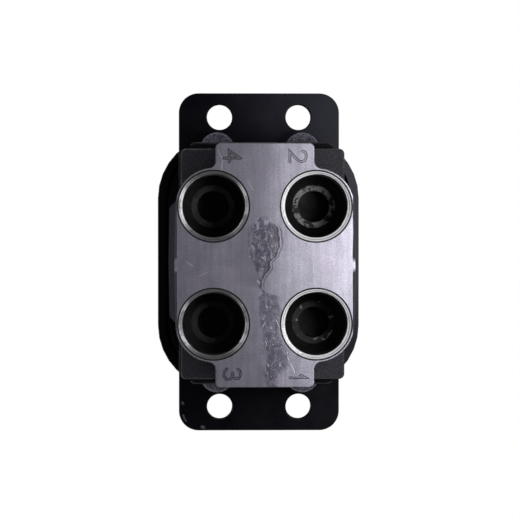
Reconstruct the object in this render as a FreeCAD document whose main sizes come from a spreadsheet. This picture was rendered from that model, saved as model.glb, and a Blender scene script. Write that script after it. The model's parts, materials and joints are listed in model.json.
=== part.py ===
import FreeCAD, Part
import math
import os
from types import SimpleNamespace

import Sketcher

# Hydraulic pilot control valve with a tilting lever and four spring-loaded plungers.
# Millimetres. The origin is the centre of the machined port face, +Z points to the lever,
# Y runs along the mounting plate and X across it.

SIZES = {
    # mounting plate
    "plate_width": 57.0,
    "plate_overhang": 17.5,
    "plate_thickness": 6.0,
    "plate_corner": 7.0,
    "mount_inset_x": 14.5,
    "mount_inset_y": 8.5,
    "mount_hole_diameter": 9.0,
    # casting
    "casing_height": 66.0,
    "port_block_height": 25.0,
    "port_boss_radius": 12.6,
    "tab_width": 32.6,
    "tab_length": 80.8,
    "tab_corner": 1.6,
    "tab_root": 2.6,
    "parting_ridge": 0.4,
    "flank_draft": 2.2,
    "flank_length": 43.4,
    "middle_width": 55.8,
    "middle_length": 78.5,
    "middle_height": 15.0,
    "middle_corner": 1.8,
    "neck_width": 49.6,
    "neck_overhang": 2.15,
    "neck_corner": 2.0,
    "ear_radius": 6.1,
    "ear_height": 10.0,
    # four work ports, bored for an M22 x 1.5 thread
    "port_pitch_x": 34.0,
    "port_pitch_y": 39.0,
    "port_diameter": 20.5,
    "port_mouth_diameter": 23.8,
    "port_depth": 15.0,
    "port_floor_diameter": 14.6,
    "port_floor_depth": 19.0,
    "port_gallery_diameter": 10.4,
    "port_gallery_depth": 29.0,
    # supply and return ports in the two ends, bored for an M18 x 1.5 thread
    "supply_diameter": 16.5,
    "supply_mouth_diameter": 19.0,
    "supply_depth": 12.0,
    "supply_height": 12.5,
    "supply_gallery_diameter": 8.0,
    "return_gallery_length": 8.0,
    "passage_diameter": 5.0,
    "passage_height": 26.0,
    # plungers, guide bushings and spools
    "running_clearance": 0.05,
    "plunger_circle_radius": 18.0,
    "plunger_diameter": 8.0,
    "plunger_foot_depth": 28.0,
    "plunger_gap": 0.75,
    "plunger_tip_diameter": 1.6,
    "dome_slope": 40.0,
    "bushing_bore_diameter": 16.0,
    "bushing_length": 20.0,
    "ring_groove_offset": 5.0,
    "ring_groove_width": 2.4,
    "ring_thickness": 1.6,
    "rod_seal_diameter": 12.0,
    "rod_seal_thickness": 3.0,
    "chamber_diameter": 14.4,
    "chamber_floor_height": 22.0,
    "spring_seat_diameter": 13.2,
    "spring_seat_thickness": 3.0,
    "spool_diameter": 7.0,
    "spool_waist_diameter": 4.6,
    "spool_bottom_height": 8.0,
    "spool_collar_diameter": 9.0,
    "spool_collar_thickness": 3.0,
    "spool_bore_floor_height": 6.0,
    "return_spring_diameter": 13.6,
    "return_spring_wire": 1.5,
    "balance_spring_diameter": 8.2,
    "balance_spring_wire": 1.0,
    "balance_spring_length": 8.0,
    # universal joint
    "pivot_rise": 8.8,
    "pin_diameter": 4.5,
    "block_size": 9.0,
    "lug_gap": 0.5,
    "lug_thickness": 4.0,
    "joint_stem_diameter": 12.0,
    "joint_stem_length": 34.0,
    "joint_flange_diameter": 20.6,
    "joint_flange_thickness": 2.2,
    "yoke_drop": 8.5,
    "yoke_head_diameter": 20.6,
    "yoke_head_thickness": 3.5,
    # lever
    "lever_diameter": 14.0,
    "stud_length": 11.5,
    "lever_chamfer": 1.2,
    "stud_diameter": 12.0,
    "stud_relief_diameter": 10.4,
    "stud_relief_width": 1.5,
    "swash_diameter": 44.0,
    "swash_rim_thickness": 4.0,
    "swash_recess_diameter": 26.0,
    "swash_wall": 3.0,
    "swash_hub_diameter": 22.0,
    "swash_hub_height": 8.0,
    "nut_width": 22.0,
    "lock_nut_height": 6.0,
    "handle_nut_height": 7.0,
    "handle_nut_rise": 5.0,
    "handle_nut_spare": 2.0,
    # boot flange
    "cover_width": 66.0,
    "cover_length": 85.0,
    "cover_thickness": 8.0,
    "cover_corner": 19.6,
    "cover_groove_height": 3.0,
    "cover_groove_width": 2.4,
    "cover_groove_depth": 1.5,
    "plunger_hole_diameter": 9.4,
    # screws
    "cover_screw_inset_x": 13.0,
    "cover_screw_inset_y": 14.5,
    "cover_screw_diameter": 5.0,
    "cover_screw_hole_diameter": 5.5,
    "cover_screw_length": 25.0,
    "cover_screw_head_diameter": 8.5,
    "cover_screw_head_height": 5.0,
    "cover_screw_socket": 4.0,
    "plate_screw_pitch_x": 30.0,
    "plate_screw_inset": 2.8,
    "plate_screw_diameter": 6.0,
    "plate_screw_length": 13.0,
    "plate_screw_head_diameter": 11.6,
    "plate_screw_socket": 4.0,
    "socket_depth": 2.2,
    "screw_hole_spare": 1.0,
    # boot
    "boot_rim_wall": 3.0,
    "boot_rim_height": 10.0,
    "boot_shoulder": 2.4,
    "boot_lip": 2.0,
    "boot_bead_width": 2.0,
    "boot_bead_depth": 1.3,
    "boot_fold_rise": 6.6,
    "boot_fold_pitch": 10.0,
    "boot_fold_depth": 5.0,
    "boot_foot_reach_x": 2.3,
    "boot_foot_inset_y": 1.3,
    "boot_crown_half": 16.7,
    "boot_wall": 2.2,
    "boot_neck_length": 10.0,
    "boot_clearance": 0.3,
    "collar_wall": 2.6,
    "collar_height": 5.0,
    "collar_rise": 2.0,
}

BOOT_FOLDS = 4
RETURN_SPRING_TURNS = 4
BALANCE_SPRING_TURNS = 3
COIL_STATIONS = 12
CORNER_CHORDS = 4
QUARTER_TURN = 90.0
ROUND_SHARE = 0.98
FULL_TURN = 360.0
SIDES = ((1, 1), (1, -1), (-1, 1), (-1, -1))

doc = FreeCAD.newDocument("pilot_control_valve")
sheet = doc.addObject("Spreadsheet::Sheet", "sizes")
for row, (alias, value) in enumerate(SIZES.items(), start=1):
    sheet.set(f"A{row}", alias)
    sheet.set(f"B{row}", str(value))
    sheet.setAlias(f"B{row}", alias)
doc.recompute()

PIECES = []


# Sizes that carry their own sheet expression

class Size:
    """A number together with the expression that works it out from the sheet."""

    def __init__(self, value, text):
        self.value = float(value)
        self.text = text

    def __add__(self, other):
        other = as_size(other)
        return Size(self.value + other.value, f"({self.text} + {other.text})")

    def __sub__(self, other):
        other = as_size(other)
        return Size(self.value - other.value, f"({self.text} - {other.text})")

    def __mul__(self, other):
        other = as_size(other)
        return Size(self.value * other.value, f"({self.text} * {other.text})")

    def __truediv__(self, other):
        other = as_size(other)
        return Size(self.value / other.value, f"({self.text} / {other.text})")

    def __neg__(self):
        return Size(-self.value, f"(-1 * {self.text})")


def as_size(item):
    return item if isinstance(item, Size) else Size(item, str(float(item)))


def root(item):
    return Size(math.sqrt(item.value), f"sqrt({item.text})")


def sine(angle):
    return Size(math.sin(math.radians(angle.value)), f"sin({angle.text})")


def cosine(angle):
    return Size(math.cos(math.radians(angle.value)), f"cos({angle.text})")


size = SimpleNamespace(**{alias: Size(sheet.get(alias), f"sizes.{alias}") for alias in SIZES})

plate_length = size.cover_length + size.plate_overhang * 2
plate_screw_pitch_y = size.cover_length - size.plate_screw_inset * 2
neck_length = plate_screw_pitch_y + size.neck_overhang * 2
plate_top = size.casing_height + size.plate_thickness
cover_top = plate_top + size.cover_thickness
plunger_radius = size.plunger_diameter / 2
bushing_radius = size.bushing_bore_diameter / 2
spool_bore_radius = size.spool_diameter / 2 + size.running_clearance
plunger_bottom = plate_top - size.plunger_foot_depth
seat_bottom = plunger_bottom - size.spring_seat_thickness
spool_top = seat_bottom - size.balance_spring_length
bushing_bottom = plate_top - size.bushing_length
ring_groove_low = bushing_bottom + size.ring_groove_offset
pivot_height = cover_top + size.joint_flange_thickness + size.pivot_rise
pin_radius = size.pin_diameter / 2
pin_bore_radius = pin_radius + size.running_clearance
lug_inner = size.block_size / 2 + size.lug_gap
lug_outer = lug_inner + size.lug_thickness
lug_half_width = size.block_size / 2
yoke_seat = pivot_height + size.yoke_drop
swash_seat = yoke_seat + size.yoke_head_thickness
hub_top = swash_seat + size.swash_hub_height
boot_shoulder_top = plate_top + size.boot_rim_height + size.boot_shoulder
boot_first_fold = boot_shoulder_top + size.boot_fold_rise
boot_neck_bottom = boot_first_fold + size.boot_fold_pitch * BOOT_FOLDS
boot_neck_top = boot_neck_bottom + size.boot_neck_length
boot_neck_radius = size.lever_diameter / 2 + size.boot_clearance + size.boot_wall
collar_bottom = boot_neck_bottom + size.collar_rise
collar_top = collar_bottom + size.collar_height
handle_nut_bottom = collar_top + size.handle_nut_rise
stud_bottom = handle_nut_bottom + size.handle_nut_height + size.handle_nut_spare
lever_top = stud_bottom + size.stud_relief_width + size.stud_length


def rectangle_places(pitch_x, pitch_y):
    return [(pitch_x / 2 * side_x, pitch_y / 2 * side_y) for side_x, side_y in SIDES]


port_places = rectangle_places(size.port_pitch_x, size.port_pitch_y)
mount_places = rectangle_places(size.plate_width - size.mount_inset_x * 2,
                                plate_length - size.mount_inset_y * 2)
plate_screw_places = rectangle_places(size.plate_screw_pitch_x, plate_screw_pitch_y)
cover_screw_places = rectangle_places(size.cover_width - size.cover_screw_inset_x * 2,
                                      size.cover_length - size.cover_screw_inset_y * 2)
plate_screw_depth = size.plate_screw_length - size.plate_thickness
cover_screw_depth = size.cover_screw_length - size.cover_thickness - size.plate_thickness
plunger_places = [
    (as_size(0), size.plunger_circle_radius),
    (size.plunger_circle_radius, as_size(0)),
    (-size.plunger_circle_radius, as_size(0)),
    (as_size(0), -size.plunger_circle_radius),
]


# Document helpers

def bind(item, **properties):
    for name, value in properties.items():
        item.setExpression(name, as_size(value).text)


def bind_place(item, x=0, y=0, z=0, prefix="Placement"):
    for axis, value in zip("xyz", (x, y, z)):
        item.setExpression(f"{prefix}.Base.{axis}", as_size(value).text)


def new_body(label, x=0, y=0, z=0):
    body = doc.addObject("PartDesign::Body", label)
    body.Label = label
    bind_place(body, x, y, z)
    return body


def keep(item):
    """Marks an object as one of the valve's pieces."""
    PIECES.append(item)
    return item


def group(label, bodies):
    """Like pieces that share one node."""
    compound = doc.addObject("Part::Compound", label)
    compound.Label = label
    compound.Links = bodies
    return keep(compound)


def new_sketch(body, role, x=0, y=0, z=0):
    """A sketch on an origin plane of its body, moved within and off that plane."""
    sketch = body.newObject("Sketcher::SketchObject", f"{body.Label}_sketch")
    plane = next(item for item in body.Origin.OriginFeatures if item.Role == role)
    sketch.AttachmentSupport = [(plane, "")]
    sketch.MapMode = "FlatFace"
    bind_place(sketch, x, y, z, prefix="AttachmentOffset")
    return sketch


def arc_between(start, end, radius):
    """The short arc from start to end; it turns left for a positive radius, right for a negative one."""
    chord = end - start
    rise = math.sqrt(max(radius * radius - chord.Length * chord.Length / 4, 0.0))
    side = FreeCAD.Vector(-chord.y, chord.x, 0).normalize() * math.copysign(rise, radius)
    centre = (start + end) / 2 + side
    circle = Part.Circle(centre, FreeCAD.Vector(0, 0, 1), abs(radius))
    first, last = (start, end) if radius > 0 else (end, start)
    return Part.ArcOfCircle(circle, circle.parameter(first), circle.parameter(last))


def draw(sketch, corners):
    """A closed outline. A corner is (x, y), or (x, y, radius) where an arc starts."""
    first = sketch.GeometryCount
    count = len(corners)
    corners = [tuple(as_size(item) for item in corner) for corner in corners]
    points = [FreeCAD.Vector(corner[0].value, corner[1].value, 0) for corner in corners]
    edges, ends, rules = [], [], []
    for index, corner in enumerate(corners):
        start, end = points[index], points[(index + 1) % count]
        if len(corner) == 3:
            edges.append(arc_between(start, end, corner[2].value))
            ends.append((1, 2) if corner[2].value > 0 else (2, 1))
        else:
            edges.append(Part.LineSegment(start, end))
            ends.append((1, 2))
    for index, corner in enumerate(corners):
        edge, previous = first + index, first + (index - 1) % count
        start, last = ends[index][0], ends[index - 1][1]
        rules.append((Sketcher.Constraint("Coincident", previous, last, edge, start), None))
        for kind, item in (("DistanceX", corner[0]), ("DistanceY", corner[1])):
            rules.append((Sketcher.Constraint(kind, -1, 1, edge, start, item.value), item))
        if len(corner) == 3:
            item = corner[2] if corner[2].value > 0 else -corner[2]
            rules.append((Sketcher.Constraint("Radius", edge, item.value), item))
    add_rules(sketch, edges, rules)


def draw_circle(sketch, x, y, radius):
    number = sketch.GeometryCount
    x, y, radius = as_size(x), as_size(y), as_size(radius)
    circle = Part.Circle(FreeCAD.Vector(x.value, y.value, 0), FreeCAD.Vector(0, 0, 1), radius.value)
    rules = [
        (Sketcher.Constraint("DistanceX", -1, 1, number, 3, x.value), x),
        (Sketcher.Constraint("DistanceY", -1, 1, number, 3, y.value), y),
        (Sketcher.Constraint("Radius", number, radius.value), radius),
    ]
    add_rules(sketch, [circle], rules)


def add_rules(sketch, edges, rules):
    sketch.addGeometry(edges)
    numbers = sketch.addConstraint([rule for rule, _ in rules])
    for number, (_, item) in zip(numbers, rules):
        if item is not None:
            sketch.setExpression(f"Constraints[{number}]", item.text)


def rounded_rectangle(half_x, half_y, corner):
    inner_x, inner_y = half_x - corner, half_y - corner
    return [
        (half_x, -inner_y), (half_x, inner_y, corner),
        (inner_x, half_y), (-inner_x, half_y, corner),
        (-half_x, inner_y), (-half_x, -inner_y, corner),
        (-inner_x, -half_y), (inner_x, -half_y, corner),
    ]


def faceted_rectangle(half_x, half_y, corner, height):
    """Points of a rounded rectangle whose corners are chords, so that a skin over several is flat-faced."""
    steps = [chord / CORNER_CHORDS for chord in range(CORNER_CHORDS + 1)]
    return corner_points(half_x, half_y, corner, corner, steps, height)


def clear_rectangle(half_x, half_y, corner, height):
    """The same with its corners' flats laid against the arc from outside, to go round a true rounded piece."""
    steps = [(chord + 0.5) / CORNER_CHORDS for chord in range(CORNER_CHORDS)]
    reach = corner / math.cos(math.radians(QUARTER_TURN / CORNER_CHORDS / 2))
    return corner_points(half_x, half_y, corner, reach, steps, height)


def corner_points(half_x, half_y, corner, reach, steps, height):
    """Points at the given shares of each quarter turn, at reach from that corner's centre."""
    points = []
    for quarter, (side_x, side_y) in enumerate(((1, 1), (-1, 1), (-1, -1), (1, -1))):
        for step in steps:
            angle = math.radians(QUARTER_TURN * (quarter + step))
            points.append(FreeCAD.Vector((half_x - corner) * side_x + reach * math.cos(angle),
                                         (half_y - corner) * side_y + reach * math.sin(angle), height))
    return points


def flat_solid(rings):
    """A solid with flat faces through rings of points, closed by its first and last ring."""
    faces = [Part.Face(Part.makePolygon(ring + ring[:1])) for ring in (rings[0], rings[-1])]
    for low, high in zip(rings, rings[1:]):
        for index in range(len(low)):
            quad = [low[index - 1], low[index], high[index], high[index - 1]]
            for corners in (quad[:3], [quad[0]] + quad[2:]):
                faces.append(Part.Face(Part.makePolygon(corners + corners[:1])))
    solid = Part.Solid(Part.Shell(faces))
    return solid if solid.Volume > 0 else solid.reversed()


def shaped(label, shape, x=0, y=0, z=0):
    """A piece whose shape is worked out here from the sheet's values."""
    item = doc.addObject("Part::Feature", label)
    item.Label = label
    item.Shape = shape
    bind_place(item, x, y, z)
    return keep(item)


def feature(body, kind, sketch, **properties):
    """A PartDesign feature made from a sketch of its body."""
    item = body.newObject(f"PartDesign::{kind}", f"{body.Label}_{kind.lower()}")
    item.Profile = sketch
    bind(item, **properties)
    return item


def pad(body, outlines, length, z=0):
    """Raises outlines drawn at height z of the body."""
    sketch = new_sketch(body, "XY_Plane", z=z)
    for outline in outlines:
        draw(sketch, outline)
    return feature(body, "Pad", sketch, Length=length)


def pad_circles(body, places, radius, length, z=0):
    sketch = new_sketch(body, "XY_Plane", z=z)
    for x, y in places:
        draw_circle(sketch, x, y, radius)
    return feature(body, "Pad", sketch, Length=length)


def drill(body, places, radius, depth, z=0):
    """Flat-bottomed holes, drilled down from height z of the body."""
    sketch = new_sketch(body, "XY_Plane", z=z)
    for x, y in places:
        draw_circle(sketch, x, y, radius)
    return feature(body, "Pocket", sketch, Length=depth)


def spin(body, kind, profile, plane="XZ_Plane", axis="V_Axis", **offset):
    """Turns (radius, height) corners about an axis of their sketch."""
    sketch = new_sketch(body, plane, **offset)
    draw(sketch, profile)
    item = feature(body, kind, sketch)
    item.ReferenceAxis = (sketch, [axis])
    item.Angle = FULL_TURN
    return item


def groove_upright(body, profile, x=0, y=0):
    """A turned cut about an upright axis through (x, y)."""
    return spin(body, "Groove", profile, x=x, z=-as_size(y))


def turned(label, profile, x=0, y=0, z=0):
    """A piece that is turned about its own upright axis."""
    body = new_body(label, x, y, z)
    spin(body, "Revolution", profile)
    return body


def loft(body, kind, sections):
    """Straight-ruled skin through (height, outline) sections."""
    sketches = []
    for height, outline in sections:
        sketch = new_sketch(body, "XY_Plane", z=height)
        draw(sketch, outline)
        sketches.append(sketch)
    item = feature(body, kind, sketches[0])
    item.Sections = sketches[1:]
    item.Ruled = True
    return item


def hexagon(width):
    """Corners of a hexagon of the given width across its flats."""
    side = width / math.sqrt(3)
    half = width / 2
    return [(side, 0), (side / 2, half), (-side / 2, half), (-side, 0), (-side / 2, -half), (side / 2, -half)]


# Casting

def port_block_quarter():
    """A quarter of the port block's outline: ridge, flank, boss, tab and back to the centre."""
    boss = size.port_boss_radius
    port_x, port_y = size.port_pitch_x / 2, size.port_pitch_y / 2
    tab_x, tab_y = size.tab_width / 2, size.tab_length / 2
    side = tab_x + size.tab_root - port_x
    reach = boss + size.tab_root
    lift = root(reach * reach - side * side)
    flank_x = port_x + boss
    return [
        (0, 0),
        (flank_x + size.parting_ridge, 0),
        (flank_x, port_y, boss),
        (port_x + side * boss / reach, port_y + lift * boss / reach, -size.tab_root),
        (tab_x, port_y + lift),
        (tab_x, tab_y - size.tab_corner, size.tab_corner),
        (tab_x - size.tab_corner, tab_y),
        (0, tab_y),
    ]


def flank_outline(draft):
    """The drafted waist above the port block, with a ridge on the parting line."""
    wide = size.port_pitch_x / 2 + size.port_boss_radius + draft
    straight = size.port_pitch_y / 2
    end = size.flank_length / 2
    corner = end - straight
    right = [(wide - corner, -end), (wide, -straight), (wide + size.parting_ridge, 0),
             (wide, straight), (wide - corner, end)]
    return right + [(-x, -as_size(y)) for x, y in right]


def casing():
    body = new_body("casing")
    quarter = pad(body, [port_block_quarter()], size.port_block_height)
    doc.recompute()
    across = body.newObject("PartDesign::MultiTransform", "casing_quarters")
    across.Originals = [quarter]
    halves = []
    for role in ("XZ_Plane", "YZ_Plane"):
        item = body.newObject("PartDesign::Mirrored", "casing_mirrored")
        plane = next(found for found in body.Origin.OriginFeatures if found.Role == role)
        item.MirrorPlane = (plane, [""])
        halves.append(item)
    across.Transformations = halves
    body.Tip = across
    doc.recompute()
    middle_top = size.port_block_height + size.middle_height
    pad(body, [rounded_rectangle(size.middle_width / 2, size.middle_length / 2, size.middle_corner)],
        size.middle_height, z=size.port_block_height)
    pad(body, [rounded_rectangle(size.neck_width / 2, neck_length / 2, size.neck_corner)],
        size.casing_height - middle_top, z=middle_top)
    loft(body, "AdditiveLoft", [(size.port_block_height, flank_outline(as_size(0))),
                                (size.casing_height, flank_outline(size.flank_draft))])
    pad_circles(body, plate_screw_places, size.ear_radius, size.ear_height,
                z=size.casing_height - size.ear_height)
    casing_bores(body)
    casing_galleries(body)
    return keep(body)


def casing_bores(body):
    mouth, bore = size.port_mouth_diameter / 2, size.port_diameter / 2
    gallery = size.port_gallery_diameter / 2
    for x, y in port_places:
        groove_upright(body, [
            (0, 0), (mouth, 0), (bore, mouth - bore), (bore, size.port_depth),
            (size.port_floor_diameter / 2, size.port_floor_depth),
            (gallery, size.port_floor_depth), (gallery, size.port_gallery_depth),
            (0, size.port_gallery_depth),
        ], x, y)
    chamber = size.chamber_diameter / 2
    for x, y in plunger_places:
        groove_upright(body, [
            (0, size.spool_bore_floor_height), (spool_bore_radius, size.spool_bore_floor_height),
            (spool_bore_radius, size.chamber_floor_height), (chamber, size.chamber_floor_height),
            (chamber, bushing_bottom), (bushing_radius, bushing_bottom),
            (bushing_radius, size.casing_height), (0, size.casing_height),
        ], x, y)
    drill(body, [(0, 0)], size.joint_stem_diameter / 2,
          size.casing_height - (cover_top - size.joint_stem_length) + size.screw_hole_spare,
          z=size.casing_height)
    drill(body, plate_screw_places, size.plate_screw_diameter / 2,
          plate_screw_depth + size.screw_hole_spare, z=size.casing_height)
    drill(body, cover_screw_places, size.cover_screw_diameter / 2,
          cover_screw_depth + size.screw_hole_spare, z=size.casing_height)


def casing_galleries(body):
    mouth, bore = size.supply_mouth_diameter / 2, size.supply_diameter / 2
    gallery = size.supply_gallery_diameter / 2
    end = size.tab_length / 2
    shelf = end - size.supply_depth
    reaches = ((1, -size.plunger_circle_radius), (-1, shelf - size.return_gallery_length))
    for side, reach in reaches:
        profile = [
            (0, end), (mouth, end), (bore, end - mouth + bore), (bore, shelf),
            (gallery, shelf), (gallery, reach), (0, reach),
        ]
        spin(body, "Groove", [(radius, as_size(along) * side) for radius, along in profile],
             plane="XY_Plane", z=size.supply_height)
    half = size.plunger_circle_radius
    spin(body, "Groove", [(-half, 0), (half, 0), (half, gallery), (-half, gallery)],
         plane="XY_Plane", axis="H_Axis", z=size.supply_height)
    passage = size.passage_diameter / 2
    for side in (1, -1):
        reach = size.port_pitch_x / 2 * side
        spin(body, "Groove", [(0, 0), (reach, 0), (reach, passage), (0, passage)],
             plane="XY_Plane", axis="H_Axis", y=half * side, z=size.passage_height)
        reach = size.port_pitch_y / 2 * -side
        spin(body, "Groove", [(0, 0), (passage, 0), (passage, reach), (0, reach)],
             plane="XY_Plane", x=half * side, z=size.passage_height)


# Plates and screws

def mounting_plate():
    body = new_body("mounting_plate", z=size.casing_height)
    thick = size.plate_thickness
    pad(body, [rounded_rectangle(size.plate_width / 2, plate_length / 2, size.plate_corner)], thick)
    drill(body, mount_places, size.mount_hole_diameter / 2, thick, z=thick)
    drill(body, plunger_places, bushing_radius + size.running_clearance, thick, z=thick)
    drill(body, [(0, 0)], size.joint_stem_diameter / 2 + size.running_clearance, thick, z=thick)
    drill(body, cover_screw_places, size.cover_screw_hole_diameter / 2, thick, z=thick)
    shank, head = size.plate_screw_diameter / 2, size.plate_screw_head_diameter / 2
    for x, y in plate_screw_places:
        groove_upright(body, [
            (0, 0), (shank, 0), (shank, thick - head + shank), (head, thick), (0, thick),
        ], x, y)
    return keep(body)


def plate_screws():
    shank, head = size.plate_screw_diameter / 2, size.plate_screw_head_diameter / 2
    length = size.plate_screw_length
    bodies = []
    for number, (x, y) in enumerate(plate_screw_places, start=1):
        body = turned(f"plate_screw_{number}", [
            (0, -length), (shank, -length), (shank, shank - head), (head, 0), (0, 0),
        ], x, y, plate_top)
        sketch = new_sketch(body, "XY_Plane")
        draw(sketch, hexagon(size.plate_screw_socket))
        feature(body, "Pocket", sketch, Length=size.socket_depth)
        bodies.append(body)
    return group("plate_screws", bodies)


def cover_plate():
    body = new_body("cover_plate", z=plate_top)
    thick = size.cover_thickness
    half_x, half_y, corner = size.cover_width / 2, size.cover_length / 2, size.cover_corner
    pad(body, [rounded_rectangle(half_x, half_y, corner)], thick)
    deep = size.cover_groove_depth
    sketch = new_sketch(body, "XY_Plane", z=size.cover_groove_height + size.cover_groove_width)
    draw(sketch, rounded_rectangle(half_x + deep, half_y + deep, corner + deep))
    draw(sketch, rounded_rectangle(half_x - deep, half_y - deep, corner - deep))
    feature(body, "Pocket", sketch, Length=size.cover_groove_width)
    drill(body, plunger_places, size.plunger_hole_diameter / 2, thick, z=thick)
    drill(body, [(0, 0)], size.joint_stem_diameter / 2 + size.running_clearance, thick, z=thick)
    drill(body, cover_screw_places, size.cover_screw_hole_diameter / 2, thick, z=thick)
    return keep(body)


def cover_screws():
    shank, head = size.cover_screw_diameter / 2, size.cover_screw_head_diameter / 2
    tall, length = size.cover_screw_head_height, size.cover_screw_length
    bodies = []
    for number, (x, y) in enumerate(cover_screw_places, start=1):
        body = turned(f"cover_screw_{number}", [
            (0, -length), (shank, -length), (shank, 0), (head, 0), (head, tall), (0, tall),
        ], x, y, cover_top)
        sketch = new_sketch(body, "XY_Plane", z=tall)
        draw(sketch, hexagon(size.cover_screw_socket))
        feature(body, "Pocket", sketch, Length=size.socket_depth)
        bodies.append(body)
    return group("cover_screws", bodies)


# Plungers, bushings, springs and spools

def plunger(number, x, y):
    top = pivot_height - size.plunger_gap
    tip = size.plunger_tip_diameter / 2
    shoulder = top - (plunger_radius - tip) * sine(size.dome_slope) / cosine(size.dome_slope)
    return keep(turned(f"plunger_{number}", [
        (0, plunger_bottom), (plunger_radius, plunger_bottom),
        (plunger_radius, shoulder), (tip, top), (0, top),
    ], x, y))


def spring_seat(number, x, y):
    wide = size.spring_seat_diameter / 2
    return keep(turned(f"spring_seat_{number}", [
        (0, seat_bottom), (wide, seat_bottom), (wide, plunger_bottom),
        (0, plunger_bottom),
    ], x, y))


def plunger_bushings():
    wide = bushing_radius - size.running_clearance
    bore = plunger_radius + size.running_clearance
    groove_low, groove_high = ring_groove_low, ring_groove_low + size.ring_groove_width
    floor = bushing_radius - size.ring_thickness
    seal = size.rod_seal_diameter / 2
    shelf = plate_top - size.rod_seal_thickness
    bodies = []
    for number, (x, y) in enumerate(plunger_places, start=1):
        bodies.append(turned(f"plunger_bushing_{number}", [
            (bore, bushing_bottom), (wide, bushing_bottom),
            (wide, groove_low), (floor, groove_low), (floor, groove_high), (wide, groove_high),
            (wide, plate_top), (seal, plate_top), (seal, shelf), (bore, shelf),
        ], x, y))
    return group("plunger_bushings", bodies)


def bushing_o_rings():
    inner = bushing_radius - size.ring_thickness
    low = ring_groove_low + (size.ring_groove_width - size.ring_thickness) / 2
    high = low + size.ring_thickness
    bodies = []
    for number, (x, y) in enumerate(plunger_places, start=1):
        bodies.append(turned(f"bushing_o_ring_{number}", [
            (inner, low), (bushing_radius, low), (bushing_radius, high), (inner, high),
        ], x, y))
    return group("bushing_o_rings", bodies)


def rod_seals():
    inner = plunger_radius + size.running_clearance * 2
    outer = size.rod_seal_diameter / 2
    bottom = plate_top - size.rod_seal_thickness
    bodies = []
    for number, (x, y) in enumerate(plunger_places, start=1):
        bodies.append(turned(f"rod_seal_{number}", [
            (inner, bottom), (outer, bottom), (outer, plate_top), (inner, plate_top),
        ], x, y))
    return group("rod_seals", bodies)


def spool(number, x, y):
    wide, waist = size.spool_diameter / 2, size.spool_waist_diameter / 2
    collar = size.spool_collar_diameter / 2
    low, high = size.spool_bottom_height, spool_top
    land = size.spool_diameter / 2
    return keep(turned(f"spool_{number}", [
        (0, low), (wide, low), (wide, low + land), (waist, low + land),
        (waist, size.supply_height + size.supply_gallery_diameter / 2),
        (wide, size.supply_height + size.supply_gallery_diameter / 2),
        (wide, high - size.spool_collar_thickness), (collar, high - size.spool_collar_thickness),
        (collar, high), (0, high),
    ], x, y))


def spring(label, x, y, bottom, top, diameter, wire, turns):
    """A coil of square wire between two seats."""
    low, high = bottom.value + wire.value / 2, top.value - wire.value / 2
    outer, inner = diameter.value / 2, diameter.value / 2 - wire.value
    stations = turns * COIL_STATIONS
    rings = []
    for station in range(stations + 1):
        angle = 2 * math.pi * station / COIL_STATIONS
        across = FreeCAD.Vector(math.cos(angle), math.sin(angle), 0)
        middle = low + (high - low) * station / stations
        rings.append([across * radius + FreeCAD.Vector(0, 0, middle + side * wire.value / 2)
                      for radius, side in ((inner, -1), (outer, -1), (outer, 1), (inner, 1))])
    return shaped(label, flat_solid(rings), x, y)


# Universal joint and lever

def lug_outline(foot):
    """One lug seen along its pin, round at the pivot and reaching to foot on the other side."""
    half = lug_half_width
    side = 1 if foot.value > 0 else -1
    return [(half * side, foot), (-half * side, foot), (-half * side, 0, half),
            (0, -half * side, half), (half * side, 0)]


def joint_base():
    body = new_body("joint_base", z=pivot_height)
    seat = cover_top - pivot_height
    top = seat + size.joint_flange_thickness
    stem, flange = size.joint_stem_diameter / 2, size.joint_flange_diameter / 2
    spin(body, "Revolution", [
        (0, seat - size.joint_stem_length), (stem, seat - size.joint_stem_length),
        (stem, seat), (flange, seat), (flange, top), (0, top),
    ])
    lugs(body, "YZ_Plane", top)
    return keep(body)


def lugs(body, plane, foot):
    """Two lugs with a bore for their pin, either side of the pivot."""
    for start in (lug_inner, -lug_outer):
        sketch = new_sketch(body, plane, z=start)
        draw(sketch, lug_outline(foot))
        feature(body, "Pad", sketch, Length=size.lug_thickness)
    sketch = new_sketch(body, plane, z=lug_outer)
    draw_circle(sketch, 0, 0, pin_bore_radius)
    feature(body, "Pocket", sketch, Length=lug_outer * 2)


def centre_block():
    body = new_body("centre_block", z=pivot_height)
    half = size.block_size / 2
    square = [(half, -half), (half, half), (-half, half), (-half, -half)]
    pad(body, [square], size.block_size, z=-half)
    for plane in ("YZ_Plane", "XZ_Plane"):
        sketch = new_sketch(body, plane, z=half)
        draw_circle(sketch, 0, 0, pin_radius)
        feature(body, "Pocket", sketch, Length=size.block_size)
    return keep(body)


def pin(label, plane, start, length):
    body = new_body(label, z=pivot_height)
    sketch = new_sketch(body, plane, z=start)
    draw_circle(sketch, 0, 0, pin_radius)
    feature(body, "Pad", sketch, Length=length)
    return body


def pins():
    keep(pin("long_pin", "YZ_Plane", -lug_outer, lug_outer * 2))
    reach = lug_outer - pin_radius
    group("short_pins", [
        pin("short_pin_1", "XZ_Plane", pin_radius, reach),
        pin("short_pin_2", "XZ_Plane", -lug_outer, reach),
    ])


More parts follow.
